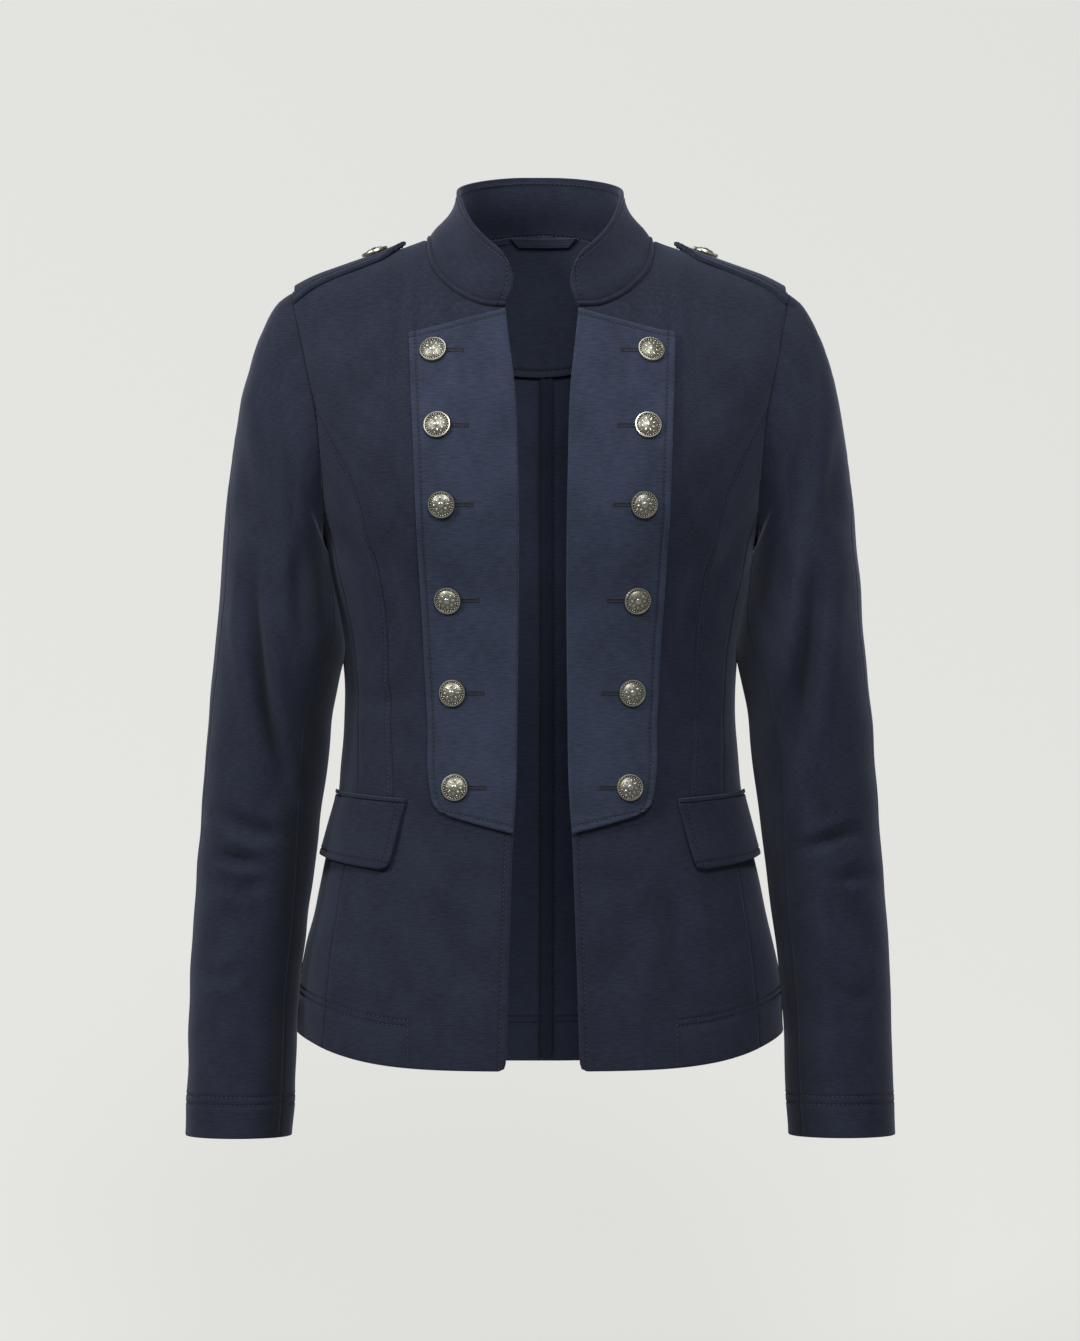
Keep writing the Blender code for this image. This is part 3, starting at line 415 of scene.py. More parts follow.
@dataclass(frozen=True)
class Crease:
    """A soft trough in the cloth, along a line in the front view, with low ridges beside it.

    The line is given on the coat's own side, in x and z, and front is 1 on the front and -1 on the back.
    """

    line: tuple[Pair, ...]
    depth: float
    width: float
    front: int = 1

    def rise(self, points: Array, normals: Array) -> Array:
        """The rise that the crease gives to some points.

        Args:
            points: Points in their real places.
            normals: The outward directions there.

        Returns:
            The rise at each point, mostly negative.
        """
        knots = resample(self.line, 12)
        start, step = knots[:-1], np.diff(knots, axis=0)
        flat = points[..., (0, 2)].reshape(-1, 1, 2) - start
        along = np.clip((flat * step).sum(2) / (step**2).sum(1), 0, 1)
        gaps = np.linalg.norm(flat - along[..., None] * step, axis=2)
        nearest = gaps.argmin(axis=1)
        rows = np.arange(len(nearest))
        share = (nearest + along[rows, nearest]) / len(start)
        gap = gaps[rows, nearest] / self.width
        ends = np.clip(np.sin(math.pi * np.clip(share, 0.02, 0.98)), 0, 1) ** 0.7
        profile = -np.exp(-(gap**2)) + 0.42 * np.exp(-((gap - 1.7) ** 2))
        facing = np.clip(-self.front * normals[..., 1].reshape(-1) * 1.6, 0, 1)
        return (CREASE_SCALE * self.depth * profile * ends * facing).reshape(points.shape[:-1])


@dataclass
class Drape:
    """The folds and the slight unevenness of cloth that hangs from the shoulders."""

    unevenness: float = 0.45
    creases: tuple[Crease, ...] = tuple(Crease(*row) for row in (
        # the wearer's right sleeve
        (((-221, -250), (-220, -290), (-214, -338), (-206, -380), (-190, -424)), 3.6, 7.0),
        (((-186, -235), (-184, -275), (-181, -315)), 1.5, 7.0),
        (((-253, -473), (-234, -475), (-211, -480)), 2.4, 5.0),
        (((-240, -443), (-214, -455), (-198, -457)), 2.0, 6.0),
        (((-262, -446), (-246, -456), (-226, -463)), -1.2, 6.0),
        (((-250, -494), (-230, -499), (-206, -492)), 1.0, 6.0),
        (((-236, -150), (-228, -175), (-222, -215)), 1.1, 7.0),
        (((-262, -560), (-246, -566), (-226, -560)), 0.7, 6.0),
        # the wearer's left sleeve
        (((210, -245), (206, -300), (200, -350), (193, -398)), 2.8, 10.0),
        (((187, -240), (184, -280), (182, -320)), 1.2, 7.0),
        (((246, -451), (221, -461), (197, -468)), 2.0, 5.0),
        (((254, -486), (240, -490), (226, -494)), 1.3, 4.5),
        (((262, -460), (240, -475), (214, -482)), -0.8, 6.0),
        (((233, -140), (226, -180), (221, -220)), 0.9, 7.0),
        (((258, -575), (243, -582), (224, -572)), 0.7, 6.0),
        # the fronts
        (((-163, -222), (-144, -240), (-122, -262)), 1.5, 9.0),
        (((-121, -236), (-115, -280), (-112, -335)), 1.1, 9.0),
        (((-138, -350), (-120, -356), (-102, -352)), 0.8, 8.0),
        (((-102, -470), (-106, -530), (-104, -590)), 1.2, 13.0),
        (((-60, -470), (-56, -520), (-58, -575)), 0.9, 14.0),
        (((162, -224), (146, -246), (126, -266)), 1.2, 9.0),
        (((118, -240), (113, -290), (111, -345)), 1.0, 9.0),
        (((137, -366), (121, -372), (104, -366)), 0.7, 8.0),
        (((99, -468), (103, -525), (100, -592)), 1.1, 13.0),
        (((58, -480), (62, -530), (59, -580)), 0.8, 14.0),
        # the back
        (((-150, -150), (-118, -200), (-96, -262)), 2.0, 11.0, -1),
        (((148, -158), (121, -208), (98, -268)), 1.8, 11.0, -1),
        (((-86, -338), (-52, -352), (-18, -346)), 1.6, 8.0, -1),
        (((92, -346), (60, -360), (24, -352)), 1.4, 8.0, -1),
        (((-74, -372), (-46, -382), (-22, -378)), 1.0, 7.0, -1),
        (((-58, -430), (-66, -500), (-70, -580)), 1.4, 14.0, -1),
        (((56, -436), (66, -510), (72, -590)), 1.3, 14.0, -1),
        (((-226, -230), (-214, -290), (-198, -340)), 1.9, 9.0, -1),
        (((227, -222), (216, -286), (200, -338)), 1.7, 9.0, -1),
        (((-255, -380), (-232, -392), (-205, -386)), 1.8, 6.0, -1),
        (((-257, -402), (-236, -416), (-212, -414)), 1.3, 5.5, -1),
        (((256, -386), (233, -399), (206, -394)), 1.6, 6.0, -1),
        (((258, -412), (238, -426), (214, -424)), 1.2, 5.5, -1),
        (((-250, -560), (-232, -570), (-212, -566)), 0.8, 6.0, -1),
        (((250, -572), (233, -580), (214, -574)), 0.8, 6.0, -1),
    ))

    def rise(self, points: Array, normals: Array, side: Side) -> Array:
        """The rise of the draped cloth off its plain form.

        Args:
            points: Points of the +X half.
            normals: The outward directions there.
            side: The side that the points are carried to.

        Returns:
            The rise at each point.
        """
        turned = np.array([side.value, 1.0, 1.0])
        real, facing = points * turned, normals * turned
        total = np.zeros(points.shape[:-1])
        x, y, z = real[..., 0], real[..., 1], real[..., 2]
        for k, (wave, lean, start) in enumerate(((92, 0.3, 0.4), (61, -0.8, 1.9), (47, 1.3, 4.1), (133, 0.1, 2.7))):
            swing = 2 * math.pi * (z + lean * x + (0.5 - 0.3 * k) * y) / wave + start
            total += self.unevenness * 0.5 * np.sin(swing) * np.cos(2 * math.pi * x / (1.7 * wave) + k)
        for crease in self.creases:
            if crease.line[0][0] * side.value > 0:
                total += crease.rise(real, facing)
        return total

    def painted_shade(self, points: Array, normals: Array, side: Side) -> Array:
        """How much painted shade darkens the cloth inside the deep creases.

        Args:
            points: Points of the +X half.
            normals: The outward directions there.
            side: The side that the points are carried to.

        Returns:
            The painted shade at each point, from 0 to 1.
        """
        turned = np.array([side.value, 1.0, 1.0])
        total = np.zeros(points.shape[:-1])
        for crease in self.creases:
            if crease.depth > CREASE_PAINTED_SHADE_DEPTH and crease.line[0][0] * side.value > 0:
                drop = -crease.rise(points * turned, normals * turned)
                fall = np.clip(drop / (CREASE_SCALE * crease.depth), 0, 1)
                total = np.maximum(total, fall * min(0.38 * (crease.depth - 1.4), 0.8))
        return total


def spread_along(places: Array, points: Array, first: Array, last: Array, spacing: float) -> Array:
    """Places on each row of a grid at set distances from its two ends, and evenly spaced between them.

    Args:
        places: A dense grid of places.
        points: The points of those places.
        first: Distances from the rows' first places.
        last: Distances from the rows' last places.
        spacing: The wish for the distance between the other columns.

    Returns:
        The new grid of places, with the same rows.
    """
    arcs = arc_lengths(points, 1)
    middle = max(2, round((float(arcs[:, -1].mean()) - first[-1] - last[-1]) / spacing))
    rows = []
    for arc, row in zip(arcs, places):
        fit = min(1.0, 0.92 * arc[-1] / (first[-1] + last[-1] + 1e-6))
        between = np.linspace(first[-1] * fit, arc[-1] - last[-1] * fit, middle + 2)[1:-1]
        at = np.concatenate([first * fit, between, arc[-1] - last[::-1] * fit])
        rows.append(np.stack([np.interp(at, arc, column) for column in row.T], axis=1))
    return np.array(rows)


def flipped(grid: Array) -> Array:
    """A grid with its rows and columns changed over."""
    return np.swapaxes(grid, 0, 1)


def respaced(
    points: Array, normals: Array, ends: tuple[Array, Array], sides: tuple[Array, Array], spacing: float
) -> tuple[Array, Array]:
    """Spaces a grid's rows and columns anew, with some at set distances from its edges.

    Args:
        points: The grid's points.
        normals: The outward directions there.
        ends: Distances from the first and from the last row.
        sides: Distances from the first and from the last column.
        spacing: The wish for the distance between the others.

    Returns:
        The new grid's points and outward directions.
    """
    both = np.concatenate([points, normals], axis=2)
    both = flipped(spread_along(flipped(both), flipped(points), *ends, spacing))
    both = spread_along(both, both[..., :3], *sides, spacing)
    outward = both[..., 3:]
    return both[..., :3], outward / np.linalg.norm(outward, axis=2, keepdims=True)


@dataclass
class ClothSheet:
    """A sheet of cloth as a grid of points with its trims, which becomes a thin wall with rounded edges."""

    points: Array
    normals: Array
    trims: dict[Edge, Trim]
    cells: Array | None = None
    reach: dict[Edge, Array] = field(default_factory=dict)
    rise: Array | None = None
    # painted shade: how much darker the colour is drawn, from 0 to 1
    painted_shade: Array | None = None
    uv: Array | None = None
    tuck: float = 5.0
    tuck_depth: float = 0.75
    # the inside finish is the cloth's reverse face, painted lighter than the jersey as light inside the coat
    finishes: tuple[str, str] = ("jersey", "inside")
    level_grain: bool = True

    def __post_init__(self) -> None:
        """Works out the distances to each edge, the cloth's own coordinates, the trims' rises and their painted
        shade.
        """
        across, up = arc_lengths(self.points, 1), arc_lengths(self.points, 0)
        full = {
            Edge.LEFT: across, Edge.RIGHT: across[:, -1:] - across,
            Edge.BOTTOM: up, Edge.TOP: up[-1:] - up,
        }
        for edge, distance in full.items():
            self.reach.setdefault(edge, distance)
        middle = across[:, across.shape[1] // 2][:, None]
        y, z = self.points[..., 1], self.points[..., 2]
        level = z - 0.7 * np.abs(y) * np.clip((z + 60) / 60, 0, 1)
        if not self.level_grain:
            level = up.mean(axis=1, keepdims=True) + 0 * across
        self.uv = np.stack([across - middle, level], axis=2)
        self.rise = np.zeros(self.points.shape[:2])
        self.painted_shade = np.zeros(self.points.shape[:2])
        for edge, trim in self.trims.items():
            self.rise += trim.rise(self.reach[edge])
            self.painted_shade = np.maximum(self.painted_shade, trim.painted_shade(self.reach[edge]))

    @property
    def flat_size(self) -> Triple:
        """The sheet's largest width and length and its area, cut flat, in metres."""
        width = float(arc_lengths(self.points, 1)[:, -1].max())
        length = float(arc_lengths(self.points, 0)[-1].max())
        a, b = self.points[1:, 1:] - self.points[:-1, :-1], self.points[1:, :-1] - self.points[:-1, 1:]
        areas = np.linalg.norm(np.cross(a, b), axis=2) / 2
        if self.cells is not None:
            areas = areas * self.cells
        return width * MM, length * MM, float(areas.sum()) * MM * MM

    def lifted(self) -> Array:
        """The outer points with their rises."""
        return self.points + self.normals * self.rise[..., None]

    def path(self, edge: Edge, distance: float) -> tuple[Array, Array]:
        """The points and directions of the row or column that lies at a distance from an edge.

        Args:
            edge: The edge that it follows.
            distance: One of the distances of the edge's trim.

        Returns:
            The points and the outward directions along it, clear of the neighbouring edges' own stitches.
        """
        index = int(np.argmin(np.abs(self.trims[edge].distances - distance)))
        upright = edge in (Edge.LEFT, Edge.RIGHT)
        line = index if edge in (Edge.LEFT, Edge.BOTTOM) else -1 - index
        points, normals = self.lifted(), self.normals
        take = (slice(None), line) if upright else (line, slice(None))
        near = np.abs(self.reach[edge][take] - distance) < 1.0
        for other in ((Edge.BOTTOM, Edge.TOP) if upright else (Edge.LEFT, Edge.RIGHT)):
            trim = self.trims.get(other)
            inset = trim.stitches[0] if trim and trim.stitches else 1.5
            if trim and len(trim.stitches) > 1:
                inset = 1.5
            near &= self.reach[other][take] >= inset - 0.05
        return points[take][near], normals[take][near]

    def mesh_parts(self, thickness: float, gap: float) -> tuple[Array, list, Array, Array, list[int]]:
        """The wall's points, faces, coordinates, painted shades and its faces' material slots.

        Args:
            thickness: The cloth's thickness.
            gap: How far the edges stay back from their seams.

        Returns:
            The points, the faces, the coordinates, the painted shades, and 0 or 1 for each face's side of the cloth.
        """
        rows, cols = self.points.shape[:2]
        index = np.arange(rows * cols).reshape(rows, cols)
        quads = np.stack([index[:-1, :-1], index[:-1, 1:], index[1:, 1:], index[1:, :-1]], axis=2)
        keep = np.ones((rows - 1, cols - 1), bool) if self.cells is None else self.cells
        faces = quads[keep].tolist()
        points, normals = self.lifted().reshape(-1, 3), self.normals.reshape(-1, 3)
        sides = {(face[k], face[(k + 1) % 4]): face for face in faces for k in range(4)}
        border = [edge for edge in sides if (edge[1], edge[0]) not in sides]
        share = self.seam_share().reshape(-1)
        outward: dict[int, list[Array]] = {}
        under: dict[int, list[Array]] = {}
        for start, end in border:
            face = sides[(start, end)]
            up = np.cross(points[face[2]] - points[face[0]], points[face[3]] - points[face[1]])
            out = np.cross(points[end] - points[start], up)
            out /= np.linalg.norm(out) + 1e-12
            for i in (start, end):
                outward.setdefault(i, []).append(out)
                if min(share[start], share[end]) > 0 or max(share[start], share[end]) > 0.5:
                    under.setdefault(i, []).append(out)
        edge_ids = sorted(outward)
        reach = mitred([outward[i] for i in edge_ids])
        below = mitred([under.get(i, []) for i in edge_ids])
        seam = (share[edge_ids] * (np.linalg.norm(below, axis=1) > 0))[:, None]
        radius = 0.45 * seam + thickness / 2 * (1 - seam)
        up, corner = normals[edge_ids], points[edge_ids]
        inset = radius * (1 - math.sqrt(0.5))
        outer = points.copy()
        outer[edge_ids] -= reach * (radius + gap)
        inner = outer - normals * thickness
        inner[edge_ids] -= up * self.tuck_depth * seam
        free = 1 - seam
        rims = [
            corner - reach * (gap + inset) - up * inset,
            corner - reach * gap - up * (0.8 * seam + thickness / 2 * free),
            corner - reach * (gap + inset) * free + below * self.tuck * seam
            - up * ((thickness + 0.15) * seam + (thickness - inset) * free),
            corner - reach * (gap + 0.6 * radius) * free + below * self.tuck * seam
            - up * (thickness + self.tuck_depth * seam),
        ]
        count, edge_count = len(points), len(edge_ids)
        order = {i: k for k, i in enumerate(edge_ids)}
        all_points = np.concatenate([outer, *rims, inner])
        inner_start = count + len(rims) * edge_count
        wall = [list(face) for face in faces]
        for start, end in border:
            a, b = order[start], order[end]
            rings = [(start, end)]
            rings += [(count + k * edge_count + a, count + k * edge_count + b) for k in range(len(rims))]
            rings.append((inner_start + start, inner_start + end))
            wall += [[low[1], low[0], high[0], high[1]] for low, high in zip(rings, rings[1:])]
        wall += [[i + inner_start for i in reversed(face)] for face in faces]
        uv, painted_shade = self.uv.reshape(-1, 2), self.painted_shade.reshape(-1)
        all_uv = np.concatenate([uv, *(len(rims) * [uv[edge_ids]]), uv])
        all_painted_shade = np.concatenate([painted_shade, *(len(rims) * [painted_shade[edge_ids]]), painted_shade])
        slots = [0] * len(faces) + len(border) * [0, 0, 1, 1, 1] + [1] * len(faces)
        return all_points, wall, all_uv, all_painted_shade, slots

    def round_corner(self, side: Edge, end: Edge, radius: float) -> None:
        """Rounds the corner between a side edge and an end edge.

        Args:
            side: The LEFT or RIGHT edge.
            end: The BOTTOM or TOP edge.
            radius: The corner's radius.
        """
        a = np.clip(1 - self.reach[side] / radius, 0, 1)
        b = np.clip(1 - self.reach[end] / radius, 0, 1)
        keep = np.maximum(a, b) / np.maximum(np.hypot(a, b), 1e-9)
        shift = radius * (1 - keep)
        for axis, amount, turned in ((1, a, side is Edge.RIGHT), (0, b, end is Edge.TOP)):
            inwards = np.gradient(self.points, axis=axis) * (-1 if turned else 1)
            inwards /= np.maximum(np.linalg.norm(inwards, axis=2, keepdims=True), 1e-9)
            self.points = self.points + inwards * (shift * amount)[..., None]

    def seam_share(self) -> Array:
        """1 on the points of sewn edges, less where a free edge is near, and 0 elsewhere."""
        share = np.zeros(self.points.shape[:2])
        for edge, trim in self.trims.items():
            if trim.seam:
                share = np.maximum(share, self.reach[edge] < 0.05)
        for edge in Edge:
            trim = self.trims.get(edge)
            if trim is None or not trim.seam:
                share = share * np.clip(self.reach[edge] / 6.0, 0, 1)
        return share


def mitred(directions: list[list[Array]]) -> Array:
    """Joins the outward directions of the edges that meet at each point, so that offsets keep their width."""
    joined = [
        sum(group) / max(1 + float(np.dot(group[0], group[-1])), 0.4) if group else np.zeros(3)
        for group in directions
    ]
    return np.array(joined)


@dataclass(frozen=True)
class Coat:
    """What every sub-assembly shares: the pattern, the drape and the finishes."""

    pattern: Pattern
    drape: Drape
    finishes: dict[str, Material]
    spacing: float = 4.6

    def rise(self, sheet: ClothSheet, side: Side) -> None:
        """Adds the drape, and the painted shade in its deep creases, to a sheet of the +X half."""
        sheet.rise += self.drape.rise(sheet.points, sheet.normals, side)
        sheet.painted_shade = np.maximum(sheet.painted_shade, self.drape.painted_shade(sheet.points, sheet.normals, side))


def carried(points: Array, faces: list, side: Side) -> tuple[Array, list]:
    """Carries points and faces of the +X half to their own side."""
    if side is Side.LEFT:
        return points, faces
    return points * np.array([-1.0, 1.0, 1.0]), [face[::-1] for face in faces]


def used_points(faces: list) -> Array:
    """The numbers of the points that some faces use, in order."""
    return np.unique(np.concatenate([np.asarray(face) for face in faces]))


def link_mesh(name: str, points: Array, faces: list, materials: list[Material]) -> Piece:
    """Makes a smooth object at the origin from points in millimetres.

    Args:
        name: The object's name.
        points: Its points.
        faces: Its faces.
        materials: Its materials.

    Returns:
        The object, which rides on the coat.
    """
    used = used_points(faces)
    order = np.full(len(points), -1)
    order[used] = np.arange(len(used))
    mesh = bpy.data.meshes.new(name)
    mesh.from_pydata((np.asarray(points)[used] * MM).tolist(), [], [order[face].tolist() for face in faces])
    mesh.update()
    mesh.shade_smooth()
    for material in materials:
        mesh.materials.append(material)
    piece = bpy.data.objects.new(name, mesh)
    bpy.context.scene.collection.objects.link(piece)
    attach(piece, "root")
    return piece


def add_wall(
    coat: Coat, node: str, sheet: ClothSheet, side: Side, thickness: float, gap: float = 0.05
) -> Piece:
    """Makes the wall of a sheet, in the place of its node.

    Args:
        coat: The shared parts.
        node: The node that it stands for.
        sheet: The sheet, on the +X half.
        side: The side that it is carried to.
        thickness: The cloth's thickness.
        gap: How far its edges stay back from their seams.

    Returns:
        The object.
    """
    points, faces, uv, painted_shade, slots = sheet.mesh_parts(thickness, gap)
    points, faces = carried(points, faces, side)
    cloth = [coat.finishes[name] for name in sheet.finishes]
    piece = link_mesh(f"cloth_{node}", points, faces, cloth)
    mesh = piece.data
    used = used_points(faces)
    mesh.polygons.foreach_set("material_index", np.array(slots, np.int32))
    loops = np.empty(len(mesh.loops), np.int32)
    mesh.loops.foreach_get("vertex_index", loops)
    layer = mesh.uv_layers.new(name="cloth")
    layer.data.foreach_set("uv", (uv[used][loops] * MM).astype(np.float32).reshape(-1))
    # the painted shade goes to the colour through a point attribute
    painted_shade_layer = mesh.attributes.new("painted_shade_layer", "FLOAT", "POINT")
    painted_shade_layer.data.foreach_set("value", painted_shade[used].astype(np.float32))
    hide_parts(node)
    width, length, area = sheet.flat_size
    if length < 0.01:
        # a narrow strip is cut 10 mm wide and folded double
        length, area = 0.01, 2 * area
    LOG.info("%s: %d faces, cut %.0f by %.0f mm", piece.name, len(faces), width / MM, length / MM)
    return piece


def stitch_template() -> tuple[Array, list]:
    """One stitch, lying along X on the origin, from a low ball drawn out to its length.

    Returns:
        Its points in millimetres and its faces.
    """
    bpy.ops.object.select_all(action="DESELECT")
    bpy.ops.mesh.primitive_uv_sphere_add(segments=6, ring_count=4, radius=1.0)
    ball = bpy.context.object
    bpy.ops.object.mode_set(mode="EDIT")
    bpy.ops.mesh.select_all(action="SELECT")
    bpy.ops.transform.rotate(value=math.pi / 2, orient_axis="Y", center_override=(0, 0, 0))
    bpy.ops.object.mode_set(mode="OBJECT")
    points = np.array([tuple(v.co) for v in ball.data.vertices])
    faces = [list(p.vertices) for p in ball.data.polygons]
    bpy.data.objects.remove(ball, do_unlink=True)
    return points, faces


@dataclass
class Needle:
    """Sews rows of stitches along paths and gathers them for one piece."""

    template: tuple[Array, list]
    length: float = 2.7
    pitch: float = 3.5
    width: float = 0.62
    height: float = 0.42
    points: list[Array] = field(default_factory=list)
    faces: list = field(default_factory=list)
    count: int = 0

    def place(self, centres: Array, alongs: Array, ups: Array, size: Triple) -> None:
        """Adds one stitch at each centre.

        Args:
            centres: The stitches' middles.
            alongs: Their directions.
            ups: The cloth's outward directions.
            size: Their length, width and height.
        """
        shape, faces = self.template
        for centre, along, up in zip(centres, alongs, ups):
            beside = np.cross(up, along)
            beside /= np.linalg.norm(beside) + 1e-12
            frame = np.array([along * size[0] / 2, beside * size[1] / 2, np.cross(along, beside) * size[2] / 2])
            self.points.append(shape @ frame + centre)
            self.faces += [[i + self.count for i in face] for face in faces]
            self.count += len(shape)

    def row(self, points: Array, ups: Array) -> None:
        """Sews a row of stitches along a path.

        Args:
            points: The path's points.
            ups: The cloth's outward directions along it.
        """
        if len(points) < 3:
            return
        arc = np.concatenate([[0], np.cumsum(np.linalg.norm(np.diff(points, axis=0), axis=1))])
        count = int(arc[-1] / self.pitch)
        if count < 1:
            return
        middle = (np.arange(count) + 0.5) * arc[-1] / count
        half = self.length / 2

        def at(place: Array, values: Array) -> Array:
            """Values at distances along the path."""
            return np.stack([np.interp(place, arc, column) for column in values.T], axis=1)

        along = at(middle + half, points) - at(middle - half, points)
        along /= np.linalg.norm(along, axis=1, keepdims=True) + 1e-12
        up = at(middle, ups)
        up /= np.linalg.norm(up, axis=1, keepdims=True) + 1e-12
        self.place(at(middle, points) + 0.12 * up, along, up, (self.length, self.width, self.height))

    def sew(self, sheet: ClothSheet, *edges: Edge) -> None:
        """Sews every row of stitches that the trims of some edges of a sheet have."""
        for edge in edges:
            for distance in sheet.trims[edge].stitches:
                self.row(*sheet.path(edge, distance))

    def finish(self, coat: Coat, name: str, side: Side, thread: str = "thread") -> Piece | None:
        """Makes one object of all the stitches sewn so far.

        Args:
            coat: The shared parts.
            name: The object's name.
            side: The side that they are carried to.
            thread: The finish of the thread.

        Returns:
            The object, or None where nothing was sewn.
        """
        if not self.points:
            return None
        points, faces = carried(np.concatenate(self.points), self.faces, side)
        piece = link_mesh(name, points, faces, [coat.finishes[thread]])
        LOG.info("%s: %d faces", name, len(faces))
        return piece


def trim_distances(trim: Trim | None) -> Array:
    """The distances of a trim, or only the edge itself where there is none."""
    return np.array([0.0]) if trim is None else trim.distances


def block(coat: Coat, places: Array, bottom: Trim | None, top: Trim | None) -> Array:
    """Spaces the rows of a dense block of places, with rows at the trims' distances.

    Args:
        coat: The shared parts.
        places: The dense places, rows by columns by two.
        bottom: The trim along its bottom edge.
        top: The trim along its top edge.

    Returns:
        The block with its new rows.
    """
    points = coat.pattern.form.point(places[..., 0], places[..., 1])
    first, last = trim_distances(bottom), trim_distances(top)
    return flipped(spread_along(flipped(places), flipped(points), first, last, coat.spacing))


def columns(coat: Coat, places: Array, left: Trim | None, right: Trim | None) -> Array:
    """Spaces the columns of a grid of places, with columns at the trims' distances."""
    points = coat.pattern.form.point(places[..., 0], places[..., 1])
    return spread_along(places, points, trim_distances(left), trim_distances(right), coat.spacing)


def on_form(coat: Coat, places: Array, lift: float = 0.0) -> tuple[Array, Array]:
    """Points and outward directions of places on the body, held a distance off it."""
    normals = coat.pattern.form.normal(places[..., 0], places[..., 1])
    return coat.pattern.form.point(places[..., 0], places[..., 1]) + lift * normals, normals


def body_sheet(
    coat: Coat, side: Side, blocks: list[Array], sides: tuple[Trim, Trim], ends: tuple[Trim | None, Trim],
    finishes: tuple[str, str] = ("jersey", "inside"),
) -> ClothSheet:
    """A draped sheet on the body, from dense blocks of places that follow each other upwards.

    Args:
        coat: The shared parts.
        side: The side that it is carried to.
        blocks: One or two blocks of places.
        sides: The trims of its left and right edges.
        ends: The trims of its bottom and top edges.
        finishes: Its outer and inner finish.

    Returns:
        The sheet.
    """
    bottom, top = ends
    rows = block(coat, blocks[0], bottom, top if len(blocks) == 1 else None)
    for upper in blocks[1:]:
        rows = np.concatenate([rows, block(coat, upper, None, top)[1:]])
    trims = {Edge.LEFT: sides[0], Edge.RIGHT: sides[1], Edge.BOTTOM: bottom, Edge.TOP: top}
    trims = {edge: trim for edge, trim in trims.items() if trim is not None}
    sheet = ClothSheet(*on_form(coat, columns(coat, rows, *sides)), trims, finishes=finishes)
    coat.rise(sheet, side)
    return sheet


